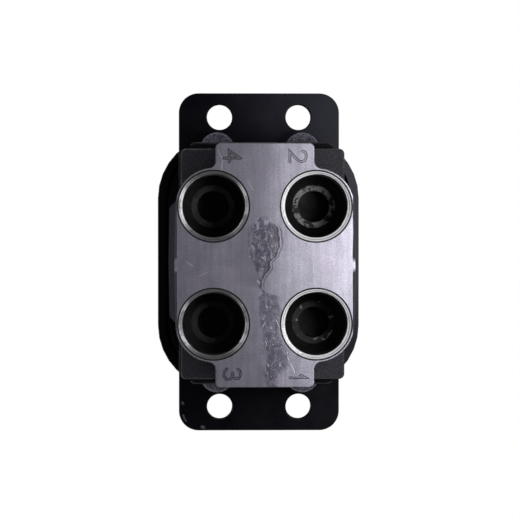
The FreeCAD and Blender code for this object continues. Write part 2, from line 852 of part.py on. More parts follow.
def lever_yoke():
    body = new_body("lever_yoke", z=pivot_height)
    low, high = size.yoke_drop, size.yoke_drop + size.yoke_head_thickness
    head, stem = size.yoke_head_diameter / 2, size.lever_diameter / 2
    top = lever_top - pivot_height
    stud, relief = size.stud_diameter / 2, size.stud_relief_diameter / 2
    shoulder = stud_bottom - pivot_height
    spin(body, "Revolution", [
        (0, low), (head, low), (head, high), (stem, high), (stem, shoulder), (relief, shoulder),
        (relief, shoulder + size.stud_relief_width), (stud, shoulder + size.stud_relief_width),
        (stud, top - size.lever_chamfer), (stud - size.lever_chamfer, top), (0, top),
    ])
    lugs(body, "XZ_Plane", low)
    return keep(body)


def swash_plate():
    rim, recess = size.swash_diameter / 2, size.swash_recess_diameter / 2
    hub, stem = size.swash_hub_diameter / 2, size.lever_diameter / 2
    low = pivot_height
    wall = recess + size.swash_wall
    return keep(turned("swash_plate", [
        (recess, low), (rim, low), (rim, low + size.swash_rim_thickness),
        (wall, low + size.swash_rim_thickness), (wall, swash_seat),
        (hub, swash_seat + size.swash_wall), (hub, hub_top), (stem, hub_top),
        (stem, swash_seat), (recess, swash_seat),
    ]))


def nut(label, bottom, height):
    """A hexagon nut with both ends turned to a chamfer."""
    body = new_body(label, z=bottom)
    pad(body, [hexagon(size.nut_width)], height)
    flat, point = size.nut_width / 2, size.nut_width / math.sqrt(3)
    drop = (point - flat) / math.sqrt(3)
    past = point * 2 - flat
    spin(body, "Groove", [(flat, 0), (past, 0), (past, drop * 2)])
    spin(body, "Groove", [(flat, height), (past, height - drop * 2), (past, height)])
    drill(body, [(0, 0)], size.lever_diameter / 2, height, z=height)
    return keep(body)


# Boot

def boot_ring(height, half_x, half_y):
    """The boot's corners grow rounder from the rim to the round neck."""
    rim_share = (size.cover_corner + size.boot_rim_wall) / (size.cover_width / 2 + size.boot_rim_wall)
    climb = (height - plate_top) / (boot_neck_top - plate_top)
    corner = half_x * (rim_share + (as_size(ROUND_SHARE) - rim_share) * climb)
    return faceted_rectangle(half_x.value, half_y.value, corner.value, height.value)


def boot_crest(height):
    """Half widths of the line through the folds' crests."""
    climb = (height - boot_first_fold) / (boot_neck_bottom - boot_first_fold)
    return tuple(foot + (size.boot_crown_half - foot) * climb
                 for foot in (size.cover_width / 2 + size.boot_foot_reach_x,
                              size.cover_length / 2 - size.boot_foot_inset_y))


def boot_folds():
    """(height, half_x, half_y) of each valley and crest of the folded wall, outside."""
    levels = []
    for fold in range(BOOT_FOLDS):
        valley = boot_first_fold + size.boot_fold_pitch * fold
        crest = valley + size.boot_fold_pitch / 2
        half_x, half_y = boot_crest(valley)
        levels.append((valley, half_x - size.boot_fold_depth, half_y - size.boot_fold_depth))
        levels.append((crest, *boot_crest(crest)))
    for height in (boot_neck_bottom, boot_neck_top):
        levels.append((height, boot_neck_radius, boot_neck_radius))
    return levels


def boot():
    cover_x, cover_y = size.cover_width / 2, size.cover_length / 2
    rim_x, rim_y = cover_x + size.boot_rim_wall, cover_y + size.boot_rim_wall
    rim_top = plate_top + size.boot_rim_height
    outer = [(plate_top, rim_x, rim_y), (rim_top, rim_x, rim_y),
             (boot_shoulder_top, rim_x - size.boot_shoulder, rim_y - size.boot_shoulder)] + boot_folds()
    lip_x, lip_y = cover_x - size.boot_lip, cover_y - size.boot_lip
    wall = size.boot_wall
    inner = [(cover_top, lip_x, lip_y), (boot_shoulder_top, lip_x - wall / 2, lip_y - wall / 2)]
    inner += [(height, half_x - wall, half_y - wall) for height, half_x, half_y in boot_folds()]
    shell = flat_solid([boot_ring(*level) for level in outer])
    shell = shell.cut(flat_solid([boot_ring(*level) for level in inner]))
    corner = size.cover_corner
    tray = [clear_rectangle(cover_x.value, cover_y.value, corner.value, height.value)
            for height in (plate_top, cover_top)]
    shell = shell.cut(flat_solid(tray))
    bead, spare = size.boot_bead_depth, (size.cover_groove_width - size.boot_bead_width) / 2
    bead_low = plate_top + size.cover_groove_height + spare
    heights = (bead_low, bead_low + size.boot_bead_width)
    ring = flat_solid([clear_rectangle(cover_x.value, cover_y.value, corner.value, height.value)
                       for height in heights])
    hollow = flat_solid([clear_rectangle((cover_x - bead).value, (cover_y - bead).value,
                                         (corner - bead).value, height.value) for height in heights])
    shell = shell.fuse(ring.cut(hollow)).removeSplitter()
    return shaped("boot", shell.Solids[0])


def boot_collar():
    inner = boot_neck_radius + size.boot_clearance
    outer = inner + size.collar_wall
    return keep(turned("boot_collar", [
        (inner, collar_bottom), (outer, collar_bottom), (outer, collar_top), (inner, collar_top),
    ]))


# Assembly

casing()
mounting_plate()
plate_screws()
cover_plate()
cover_screws()
plunger_bushings()
bushing_o_rings()
rod_seals()
for number, (x, y) in enumerate(plunger_places, start=1):
    plunger(number, x, y)
    spring_seat(number, x, y)
    spool(number, x, y)
    spring(f"return_spring_{number}", x, y, size.chamber_floor_height, seat_bottom,
           size.return_spring_diameter, size.return_spring_wire, RETURN_SPRING_TURNS)
    spring(f"balance_spring_{number}", x, y, spool_top, seat_bottom,
           size.balance_spring_diameter, size.balance_spring_wire, BALANCE_SPRING_TURNS)
joint_base()
centre_block()
pins()
lever_yoke()
swash_plate()
nut("swash_lock_nut", hub_top, size.lock_nut_height)
nut("handle_nut", handle_nut_bottom, size.handle_nut_height)
boot_collar()
boot()
doc.recompute()

for item in doc.Objects:
    if {"Invalid", "Error"} & set(item.State):
        raise RuntimeError(f"{item.Label} is {item.State}")
os.makedirs("parts", exist_ok=True)
for piece in PIECES:
    if piece.Shape.isNull() or not piece.Shape.isValid():
        raise RuntimeError(f"{piece.Label} has no valid shape")
    piece.Shape.exportStep(f"parts/{piece.Label}.step")
print(len(PIECES), "pieces")
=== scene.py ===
"""Finished looks of a hydraulic pilot control valve, built around its solid model.

Metres. The port face lies on z = 0 and faces down, the lever points up, Y runs along the mounting plate.
"""

import json
import math

import bmesh
import bpy
from bpy.props import FloatProperty, FloatVectorProperty, IntProperty, PointerProperty
from mathutils import Matrix, Vector


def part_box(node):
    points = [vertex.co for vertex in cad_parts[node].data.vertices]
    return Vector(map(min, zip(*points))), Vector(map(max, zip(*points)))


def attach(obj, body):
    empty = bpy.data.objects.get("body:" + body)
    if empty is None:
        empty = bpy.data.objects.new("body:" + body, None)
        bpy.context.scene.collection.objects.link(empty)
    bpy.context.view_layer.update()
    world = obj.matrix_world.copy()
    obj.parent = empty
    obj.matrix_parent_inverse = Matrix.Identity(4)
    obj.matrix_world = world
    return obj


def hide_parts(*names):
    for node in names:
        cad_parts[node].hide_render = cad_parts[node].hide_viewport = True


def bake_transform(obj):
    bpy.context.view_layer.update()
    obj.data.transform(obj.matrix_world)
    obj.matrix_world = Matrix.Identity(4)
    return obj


bl_info = {
    "name": "Pilot control valve",
    "version": (1, 0, 0),
    "blender": (4, 5, 0),
    "location": "View3D > Sidebar > Valve",
    "description": "Builds the castings, boot, lever and finishes of a pilot control valve",
    "category": "Object",
}

MM = 0.001
SMOOTH_ANGLE = math.radians(32)
FLAT_ANGLE = math.radians(0.4)
QUARTER = math.radians(90)
MERGE_DISTANCE = 1e-6
BLACK = (0, 0, 0, 1)
WHITE = (1, 1, 1, 1)

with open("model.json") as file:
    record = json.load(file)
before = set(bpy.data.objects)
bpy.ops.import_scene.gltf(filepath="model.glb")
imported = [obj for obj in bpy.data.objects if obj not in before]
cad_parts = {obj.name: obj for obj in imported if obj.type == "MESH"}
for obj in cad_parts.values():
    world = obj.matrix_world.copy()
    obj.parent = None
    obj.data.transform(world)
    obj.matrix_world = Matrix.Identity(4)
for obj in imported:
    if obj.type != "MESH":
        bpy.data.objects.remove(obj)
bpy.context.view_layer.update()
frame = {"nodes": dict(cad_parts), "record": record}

NODE_SLOTS = {part["node"]: part["material_slot"] for part in frame["record"]["subparts"]}
CASING_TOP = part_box("casing")[1]
PLATE_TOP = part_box("mounting_plate")[1]
COVER_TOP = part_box("cover_plate")[1]
BOOT_BOTTOM, BOOT_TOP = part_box("boot")
LEVER_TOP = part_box("lever_yoke")[1]


# Settings a user would change

def length(name, millimetres, description):
    return FloatProperty(name=name, default=millimetres * MM, description=description, subtype="DISTANCE",
                         unit="LENGTH", precision=5)


def colour(name, default, description):
    return FloatVectorProperty(name=name, default=default, description=description, subtype="COLOR", size=3,
                               min=0.0, max=1.0)


def place(name, default, description):
    return FloatVectorProperty(name=name, default=default, description=description, subtype="XYZ",
                               unit="LENGTH")


def power(name, default, description):
    return FloatProperty(name=name, default=default, description=description, min=0.0, subtype="POWER",
                         unit="POWER")


class CastingSettings(bpy.types.PropertyGroup):
    """The ported casting: its edges, ports, threads and numbers."""

    cast_round: length("Cast edge radius", 0.9, "Rounding of the edges left by the mould")
    face_round: length("Machined edge", 0.25, "Broken edge round the machined port face")
    port_pitch_x: length("Port pitch X", 34, "Distance between port centres across the valve")
    port_pitch_y: length("Port pitch Y", 39, "Distance between port centres along the valve")
    port_mouth: length("Port mouth", 11.9, "Outer radius of the chamfer at a work port")
    port_crest: length("Port thread crest", 10.25, "Inner radius of the work port thread")
    port_root: length("Port thread root", 11.0, "Outer radius of the work port thread")
    port_depth: length("Port thread depth", 15, "Length of the work port thread")
    supply_mouth: length("End port mouth", 9.5, "Outer radius of the chamfer at an end port")
    supply_crest: length("End port thread crest", 8.25, "Inner radius of the end port thread")
    supply_root: length("End port thread root", 9.0, "Outer radius of the end port thread")
    supply_depth: length("End port thread depth", 12, "Length of the end port thread")
    supply_height: length("End port height", 12.5, "Height of the end port's axis over the port face")
    thread_pitch: length("Thread pitch", 1.5, "Pitch of all port threads")
    chamfer_slope: FloatProperty(name="Chamfer slope", default=1.5, min=0.5, max=3.0,
                                 description="How far a port's chamfer narrows for each unit of depth")
    digit_height: length("Number height", 5.4, "Height of an engraved port number")
    digit_width: length("Number width", 3.7, "Width of an engraved port number")
    digit_place_x: length("Number place X", 10.9, "From the centre to a number's middle, across")
    digit_place_y: length("Number place Y", 36.0, "From the centre to a number's middle, along")
    digit_stroke: length("Engraving width", 0.84, "Width of the engraved strokes")
    digit_depth: length("Engraving depth", 0.35, "Depth of the engraved numbers")
    face_colour: colour("Machined face", (0.60, 0.575, 0.675), "Bare machined aluminium")
    chamfer_colour: colour("Port chamfers", (0.88, 0.87, 0.89), "Freshly cut metal round the ports")
    # Painted shade: the ports' insides are made near black.
    bore_shade_colour: colour("Port bores", (0.006, 0.006, 0.0068), "Oily dark metal inside the ports")
    paint_colour: colour("Casting paint", (0.030, 0.029, 0.034), "Dark grey paint on the rough casting")
    # Painted shade: the casting's paint made near black on its neck, set back under the plate.
    neck_shade_colour: colour("Neck paint", (0.0036, 0.0036, 0.005), "Black paint on the casting's neck")
    ear_colour: colour("Screw ears", (0.100, 0.097, 0.120), "Thin grey paint on the casting's screw ears")


class PlateSettings(bpy.types.PropertyGroup):
    """The mounting plate and the flange under the boot."""

    edge_round: length("Plate edge", 0.5, "Rounding of the painted plate's edges")
    plate_colour: colour("Plate paint", (0.0026, 0.0027, 0.0046), "Satin black paint of the plates")
    # Painted sheen: a lighter colour on the plates' undersides, strongest towards +X and -Y.
    underside_sheen_colour: colour("Plate dust", (0.0205, 0.0208, 0.0290), "Dust on the plates' undersides")
    screw_colour: colour("Screws", (0.030, 0.030, 0.032), "Black oxide of the screws")


class BootSettings(bpy.types.PropertyGroup):
    """The folded rubber boot."""

    rim_height: length("Rim height", 10, "Height of the boot's upright rim")
    shoulder: length("Shoulder", 2.4, "Step from the rim in to the folds")
    rim_corner: length("Rim corner", 22.6, "Corner radius of the boot's rim")
    fold_bottom: length("First fold", 91, "Height of the lowest valley")
    fold_pitch: length("Fold pitch", 10, "Height of one fold")
    fold_depth: length("Fold depth", 5, "Depth of a valley under the line of the crests")
    foot_x: length("Foot half width X", 35.3, "Half width of the crest line at the lowest valley, across")
    foot_y: length("Foot half width Y", 41.2, "Half width of the crest line at the lowest valley, along")
    crown: length("Crown half width", 16.7, "Half width of the crest line at the neck")
    neck_radius: length("Neck radius", 9.5, "Outer radius of the boot's neck")
    wall: length("Wall", 2.2, "Thickness of the rubber")
    tip_round: length("Fold tip", 1.3, "How far the folds' tips are rounded off")
    split_height: length("Split height", 101, "Height at which the two halves of the boot meet")
    folds: IntProperty(name="Folds", default=4, min=2, max=8, description="Number of folds")
    rubber_colour: colour("Rubber", (0.0055, 0.0055, 0.0065), "Moulded black rubber")
    # Painted light: a grey patch under the boot's rim at +X, where it is lit.
    lit_rim_colour: colour("Rubber bloom", (0.054, 0.051, 0.063), "Grey bloom under the boot's right rim")


class LeverSettings(bpy.types.PropertyGroup):
    """The lever with its threads, nuts and collar."""

    thread_start: length("Thread start", 139.5, "Height where the lever's thread begins")
    nut_thread_radius: length("Nut thread radius", 7, "Outer radius of the thread under the handle nut")
    stud_radius: length("Stud radius", 6, "Outer radius of the handle stud's thread")
    relief_radius: length("Relief radius", 5.2, "Radius of the groove below the stud's thread")
    relief_bottom: length("Relief bottom", 152, "Height where the groove below the stud begins")
    relief_width: length("Relief width", 1.5, "Height of the groove below the stud")
    nut_pitch: length("Nut thread pitch", 1.5, "Pitch of the thread under the nut")
    stud_pitch: length("Stud thread pitch", 1.75, "Pitch of the stud's thread")
    stud_chamfer: length("Stud chamfer", 1.2, "Chamfer on the stud's end")
    nut_round: length("Nut edge", 0.25, "Rounding of the nut's edges")
    steel_colour: colour("Turned steel", (0.42, 0.42, 0.44), "Steel of the lever and the joint")
    ground_colour: colour("Ground steel", (0.58, 0.58, 0.60), "Steel of plungers, spools and pins")
    zinc_colour: colour("Zinc", (0.62, 0.63, 0.62), "Zinc plating of the nuts")
    bronze_colour: colour("Bronze", (0.52, 0.35, 0.17), "Bronze of the guide bushings")
    spring_colour: colour("Spring wire", (0.30, 0.30, 0.32), "Drawn spring wire")
    seal_colour: colour("Seals", (0.016, 0.016, 0.017), "Rubber of rings and seals")
    plastic_colour: colour("Collar", (0.022, 0.022, 0.024), "Moulded plastic of the boot's collar")


class StageSettings(bpy.types.PropertyGroup):
    """Camera, lamps and floor."""

    camera_place: place("Camera", (-0.0283, -0.0153, -0.864), "Where the camera stands")
    camera_target: place("Camera target", (0.00036, -0.00071, 0.066), "Point in the middle of the picture")
    lens: FloatProperty(name="Lens", default=181.0, min=20.0, max=400.0, subtype="DISTANCE_CAMERA",
                        description="Focal length in millimetres")
    floor_colour: colour("Floor", (0.80, 0.80, 0.80), "Pale studio floor")
    key_power: power("Key lamp", 0.24, "Lamp below the valve, on its right")
    top_power: power("Top lamp", 11.0, "Large soft lamp above")
    fill_power: power("Fill lamp", 5.0, "Large soft lamp on the other side")


# Node helpers

def worked(operation, swapped=False):
    """A method that puts a math node behind a value."""
    def method(self, other=0.0):
        pair = (other, self) if swapped else (self, other)
        return self.nodes.math(operation, *pair)
    return method


class Value:
    """A result inside a node tree, worked on with the usual signs."""

    __add__ = worked("ADD")
    __sub__ = worked("SUBTRACT")
    __rsub__ = worked("SUBTRACT", swapped=True)
    __mul__ = worked("MULTIPLY")
    __truediv__ = worked("DIVIDE")
    __abs__ = worked("ABSOLUTE")
    or_more = worked("MAXIMUM")

    def __init__(self, nodes, socket):
        self.nodes = nodes
        self.socket = socket

    def step(self, low, high, start=0.0, end=1.0, kind="SMOOTHSTEP"):
        """Goes from start to end while this value goes from low to high."""
        ends = {"Value": self, "From Min": low, "From Max": high, "To Min": start, "To Max": end}
        return self.nodes.result("ShaderNodeMapRange", 0, ends, interpolation_type=kind)

    def fade(self, low, high):
        """Goes from 1 to 0 while this value goes from low to high."""
        return self.step(low, high, 1.0, 0.0)

    def run(self, low, high, start=0.0, end=1.0):
        """Goes from start to end while this length goes from low to high millimetres."""
        return self.step(low * MM, high * MM, start, end)

    def band(self, centre, half, soft):
        """1 where this length is within half of centre, falling to 0 over soft."""
        return abs(self - centre).fade(half, half + soft)


def largest(values):
    """The largest of several values."""
    total = values[0]
    for value in values[1:]:
        total = total.or_more(value)
    return total


class Nodes:
    """Adds nodes to a tree and joins their sockets."""

    def __init__(self, tree):
        self.tree = tree

    def add(self, kind, values=None, **settings):
        node = self.tree.nodes.new(kind)
        for key, value in settings.items():
            setattr(node, key, value)
        for key, value in (values or {}).items():
            self.join(node.inputs[key], value)
        return node

    def join(self, socket, value):
        if isinstance(value, Value):
            self.tree.links.new(value.socket, socket)
        else:
            socket.default_value = value

    def result(self, kind, output, values=None, **settings):
        """One output of a new node."""
        return Value(self, self.add(kind, values, **settings).outputs[output])

    def math(self, operation, first, second=0.0):
        return self.result("ShaderNodeMath", 0, {0: first, 1: second}, operation=operation)

    def vector(self, operation, first, second=(0, 0, 0)):
        output = "Value" if operation in ("LENGTH", "DOT_PRODUCT") else "Vector"
        return self.result("ShaderNodeVectorMath", output, {0: first, 1: second}, operation=operation)

    def mix(self, factor, first, second, mode="MIX"):
        return self.result("ShaderNodeMix", 2, {0: factor, 6: first, 7: second}, data_type="RGBA",
                           blend_type=mode)

    def noise(self, vector, scale, detail=4.0, roughness=0.55, distortion=0.0):
        values = {"Vector": vector, "Scale": scale, "Detail": detail, "Roughness": roughness,
                  "Distortion": distortion}
        return self.result("ShaderNodeTexNoise", "Fac", values)

    def stretched(self, vector, scale, angle=0.0):
        """Coordinates turned about Z and scaled per axis."""
        values = {"Vector": vector, "Scale": scale, "Rotation": (0, 0, angle)}
        return self.result("ShaderNodeMapping", 0, values)

    def split(self, vector):
        """The three axes of a vector."""
        outputs = self.add("ShaderNodeSeparateXYZ", {0: vector}).outputs
        return [Value(self, output) for output in outputs]

    def facing_up(self):
        """How far a face's normal points up, from -1 to 1."""
        return self.split(self.result("ShaderNodeNewGeometry", "Normal"))[2]

    def group(self, name, vector, **values):
        """The result of one of the shared node groups."""
        tree = bpy.data.node_groups.get(name) or GROUP_MAKERS[name]()
        return self.result("ShaderNodeGroup", 0, {"Vector": vector, **values}, node_tree=tree)

    def close_group(self, mask):
        """Ends a node group with its result and gives the group."""
        self.join(self.add("NodeGroupOutput").inputs[0], mask)
        return self.tree


def rgba(value):
    """A colour for a shader socket."""
    return (*value, 1.0)


def tint(value, factor):
    """A colour made darker or lighter."""
    return rgba(min(channel * factor, 1.0) for channel in value)


def cleared_tree(block):
    """The emptied node tree of a material or a world."""
    block.use_nodes = True
    block.node_tree.nodes.clear()
    return block.node_tree


class Finish(Nodes):
    """A new material, with the coordinates of the valve."""

    def __init__(self, name):
        self.material = bpy.data.materials.new(name)
        super().__init__(cleared_tree(self.material))
        self.place = self.result("ShaderNodeTexCoord", "Object")
        self.x, self.y, self.z = self.split(self.place)

    def varied(self, mask, shade, low, high):
        """A colour that varies between two tints of itself."""
        return self.mix(mask, tint(shade, low), tint(shade, high))

    def layered(self, base, shade, *layers):
        """The base under layers of one colour, each a (mask, tint) pair."""
        for mask, factor in layers:
            base = self.mix(mask, base, tint(shade, factor))
        return base

    def dry_gloss(self, level):
        """A rough skin's gloss, which goes out where the skin is seen edge on."""
        return self.result("ShaderNodeLayerWeight", "Facing", {"Blend": 0.5}).step(0.45, 0.88, level, 0.0)

    def done(self, base, metallic, roughness, height, depth, gloss=0.5):
        """Gives the material its shader; the relief's depth is in millimetres."""
        relief = self.result("ShaderNodeBump", 0, {"Height": height, "Distance": depth * MM, "Strength": 1.0})
        shader = self.result("ShaderNodeBsdfPrincipled", 0, {
            "Base Color": base, "Metallic": metallic, "Roughness": roughness, "Specular IOR Level": gloss,
            "Normal": relief})
        self.add("ShaderNodeOutputMaterial", {"Surface": shader})
        return self.material


# Shared effects

def new_group(name, result, **inputs):
    """A shader node group's helper and its inputs; an input without a number is a vector."""
    tree = bpy.data.node_groups.new(name, "ShaderNodeTree")
    for key, default in inputs.items():
        kind = "NodeSocketVector" if default is None else "NodeSocketFloat"
        socket = tree.interface.new_socket(key, in_out="INPUT", socket_type=kind)
        if default is not None:
            socket.default_value = default
    tree.interface.new_socket(result, in_out="OUTPUT", socket_type="NodeSocketFloat")
    nodes = Nodes(tree)
    given = nodes.add("NodeGroupInput").outputs
    return (nodes, *(Value(nodes, given[key]) for key in inputs))


STROKE_WANDER = 1.6 * MM
SCRATCH_RUNS = ((0.25, 22.0, 0.70), (1.15, 16.0, 0.72), (-0.85, 28.0, 0.71), (1.9, 12.0, 0.73))


def scratch_group():
    """Fine straight scratches as a mask; each run has an angle, a stretch and a level where it is cut."""
    nodes, vector, scale, amount = new_group("fine_scratches", "Mask", Vector=None, Scale=60.0, Amount=0.5)
    masks = []
    for angle, stretch, cut in SCRATCH_RUNS:
        lines = nodes.noise(nodes.stretched(vector, (1.0, stretch, 1.0), angle), scale, 3.0, 0.6, 0.35)
        masks.append(lines.step(cut - 0.04, cut + 0.05))
    patches = nodes.noise(vector, 55.0, 3.0).step(0.38, 0.62)
    return nodes.close_group(largest(masks) * patches * amount)


def mottle_group():
    """Slow and quick variation of a finish, from 0 to 1."""
    nodes, vector, scale = new_group("mottle", "Value", Vector=None, Scale=60.0)
    slow = nodes.noise(vector, scale, 5.0, 0.6, 0.4)
    quick = nodes.noise(vector, scale * 7.0, 4.0, 0.6)
    return nodes.close_group((slow * 0.7 + quick * 0.3).step(0.34, 0.66))


def grain_group():
    """Height of a sandy or pebbled skin."""
    nodes, vector, scale, coarse = new_group("grain", "Height", Vector=None, Scale=900.0, Coarse=0.4)
    fine = nodes.noise(vector, scale, 4.0, 0.6)
    cells = {"Vector": vector, "Scale": scale * 0.4}
    pebbles = nodes.result("ShaderNodeTexVoronoi", "Distance", cells, feature="SMOOTH_F1")
    return nodes.close_group(fine * 0.6 + pebbles * coarse)


def edge_group():
    """Where paint has gone from outer edges, as a mask."""
    nodes, vector, scale, amount = new_group("edge_wear", "Mask", Vector=None, Scale=180.0, Amount=0.5)
    sharpness = nodes.result("ShaderNodeNewGeometry", "Pointiness").step(0.52, 0.56)
    tilt = abs(nodes.facing_up())
    tilted = tilt.step(0.12, 0.4) * tilt.fade(0.86, 0.98)
    patches = nodes.noise(vector, scale, 5.0, 0.65, 0.5).step(0.50, 0.68)
    return nodes.close_group(sharpness * tilted * patches * amount)


def stroke_group():
    """One straight scratch between two points of the port face, as a mask."""
    nodes, vector, start, end, width = new_group("single_scratch", "Mask", Vector=None, Start=None, End=None,
                                                 Width=0.0001)
    flat = nodes.vector("MULTIPLY", vector, (1, 1, 0))
    wander = nodes.noise(flat, 260.0, 2.0) - 0.5
    along = nodes.vector("SUBTRACT", end, start)
    heading = nodes.vector("NORMALIZE", along)
    offset = nodes.vector("SUBTRACT", flat, start)
    share = nodes.vector("DOT_PRODUCT", offset, heading) / nodes.vector("LENGTH", along)
    across = nodes.vector("DOT_PRODUCT", offset, nodes.vector("CROSS_PRODUCT", heading, (0, 0, 1)))
    across = abs(across + wander * STROKE_WANDER)
    inside = share.step(0.0, 0.15) * share.fade(0.85, 1.0)
    return nodes.close_group((across / width).fade(0.4, 1.0) * inside)


GROUP_MAKERS = {"fine_scratches": scratch_group, "mottle": mottle_group, "grain": grain_group,
                "edge_wear": edge_group, "single_scratch": stroke_group}


# Marks on the port face and the plate, in millimetres

SMEAR_MIDDLE = ((-17, 0.3), (-14, -0.7), (-9, -0.6), (-4, -1.0), (-1, -1.5), (1.5, -1.1), (6, -2.1),
                (8.5, -1.0), (11, 1.2), (19, 1.5), (24, 1.8), (28, 3.4), (33, 3.8), (37, 1.8), (41, 2.8))
SMEAR_HALF = ((-17, 0.3), (-14, 3.1), (-9, 5.3), (-4, 4.9), (-1, 3.0), (1.5, 2.1), (6, 0.6), (8.5, 0.6),
              (11, 3.9), (19, 3.7), (24, 3.0), (28, 4.2), (33, 4.4), (37, 2.4), (41, 2.0))
FACE_SCRATCHES = (
    ((-15.6, -38.6), (-14.0, -35.0), 0.16), ((-14.0, -35.2), (-14.4, -31.2), 0.14),
    ((7.0, 28.5), (8.2, 32.0), 0.20), ((8.2, 31.8), (10.4, 36.2), 0.14),
    ((-26.5, -1.5), (-23.5, 0.6), 0.14), ((-22.0, 4.0), (-19.0, 2.0), 0.12),
    ((19.0, -3.5), (24.5, -1.5), 0.12), ((-9.0, 22.0), (-7.6, 27.0), 0.12),
    ((3.2, 17.5), (7.0, 24.0), 0.10), ((-6.0, -28.0), (-3.5, -24.5), 0.12),
    ((0.2, 18.7), (-1.0, 20.6), 0.24), ((-0.2, 16.4), (-0.5, 18.1), 0.24), ((0.4, 13.4), (0.8, 14.2), 0.30),
    ((1.8, 20.3), (2.3, 21.1), 0.30), ((0.1, 25.0), (0.8, 26.8), 0.20), ((0.9, 32.4), (1.2, 33.7), 0.28),
    ((4.9, 32.3), (5.2, 33.6), 0.28), ((2.6, 23.6), (3.6, 24.6), 0.16),
)
PLATE_NICKS = (((-27.4, 49.6), (-26.9, 50.8), 0.45), ((-27.2, 54.2), (-25.6, 56.8), 0.30),
               ((-20.6, 58.2), (-19.2, 59.0), 0.45), ((24.2, -42.5), (25.6, -41.0), 0.25))

# Widths and places of lines, borders and rings
SMEAR_WANDER, BORDER_WANDER = 2.4 * MM, 0.5 * MM
SMEAR_RIDGE, OUTER_RIDGE = (0.0, 0.20 * MM, 0.30 * MM), (1.1 * MM, 0.12 * MM, 0.25 * MM)
BORDER, BARE_HALF, BARE_SOFT = (29.0, 29.15), 0.6 * MM, 2.0 * MM
# Insets and widths of the painted shade lines at a port's mouth and where its thread starts
LINE_INSET, MOUTH_SHADE, THREAD_SHADE_LINE = 0.06 * MM, (0.24 * MM, 0.05 * MM), (0.07 * MM, 0.06 * MM)
LIT_FLOOR_RING, BORE_FLOOR = (6.3 * MM, 0.75 * MM, 0.3 * MM), (18.5, 18.9)


def scratch_lines(look, strokes):
    """Single scratches as one mask; each is a start, an end and a width."""
    masks = []
    for start, end, width in strokes:
        ends = {"Start": (start[0] * MM, start[1] * MM, 0), "End": (end[0] * MM, end[1] * MM, 0)}
        masks.append(look.group("single_scratch", look.place, Width=width * MM, **ends))
    return largest(masks)


def traced(value, points, floor, top):
    """A length read off a drawn curve of (place, result) points, whose results lie from floor to top."""
    low, high = points[0][0], points[-1][0]
    share = value.step(low * MM, high * MM, kind="LINEAR")
    node = value.nodes.add("ShaderNodeFloatCurve", {"Value": share})
    curve = node.mapping.curves[0]
    scaled = [((spot - low) / (high - low), (result - floor) / (top - floor)) for spot, result in points]
    curve.points[0].location, curve.points[-1].location = scaled[0], scaled[-1]
    for spot, result in scaled[1:-1]:
        curve.points.new(spot, result)
    node.mapping.update()
    return Value(value.nodes, node.outputs[0]).step(0.0, 1.0, floor * MM, top * MM, "LINEAR")


def smear_masks(look):
    """Masks of the scuffed patch down the middle of the port face.

    Its inside, the ridges on its right, the smear's stain and painted shade left of them, the shade reaching
    over the face's left half, and where its wrinkled top ends.
    """
    x, y = look.x, look.y
    half = traced(y, SMEAR_HALF, 0, 6)
    wander = (look.noise(look.place, 260.0, 3.0) - 0.5) * SMEAR_WANDER
    side = x - traced(y, SMEAR_MIDDLE, -4, 6) + wander
    past = side - half
    inside = (abs(side) / half).fade(0.62, 1.15) * y.run(-17, -15)
    ridge = past.band(*SMEAR_RIDGE) + past.band(*OUTER_RIDGE) * 0.7
    ridge = ridge * (y.run(-15, -12) * y.run(6, 9, 1.0, 0.0))
    # Painted shade: darker left of the smear's ridges and over the face's whole left half, with some of the
    # smear's own stain.
    film_and_painted_light = side.run(-24, 1, 0.35, 1.0) * past.run(-0.4, 0.2, 1.0, 0.0)
    film_and_painted_light = film_and_painted_light * y.run(5, 13, 1.0, 0.0) * y.run(-17, -12)
    film_and_painted_light = film_and_painted_light.or_more(x.run(-4, 9, 0.72, 0.0))
    return inside, ridge, film_and_painted_light, y.run(6, 10)


def port_distance(look, settings):
    """Distance over the port face from the nearest work port's axis."""
    across = abs(look.x) - settings.port_pitch_x / 2
    along = abs(look.y) - settings.port_pitch_y / 2
    return look.math("SQRT", across * across + along * along)


def mouth_edge_shade(away, settings):
    """Painted shade: the dark line round a work port's mouth, as a mask."""
    return away.band(settings.port_mouth - LINE_INSET, *MOUTH_SHADE) * 0.97


def paint_border(look):
    """Where paint laps over the long sides of the port face, as a mask; the parting line is bare."""
    wander = (look.noise(look.place, 110.0, 2.0) - 0.5) * BORDER_WANDER
    return (abs(look.x) + wander).run(*BORDER) * (1.0 - look.y.band(0.0, BARE_HALF, BARE_SOFT))


def painted_underside_sheen(look):
    """Painted sheen on downward faces, strongest towards +X and -Y, as a mask."""
    return look.x.run(-26, 30) * look.y.run(-34, 34, 1.0, 0.06) * look.facing_up().fade(-0.9, -0.6)


# Finishes

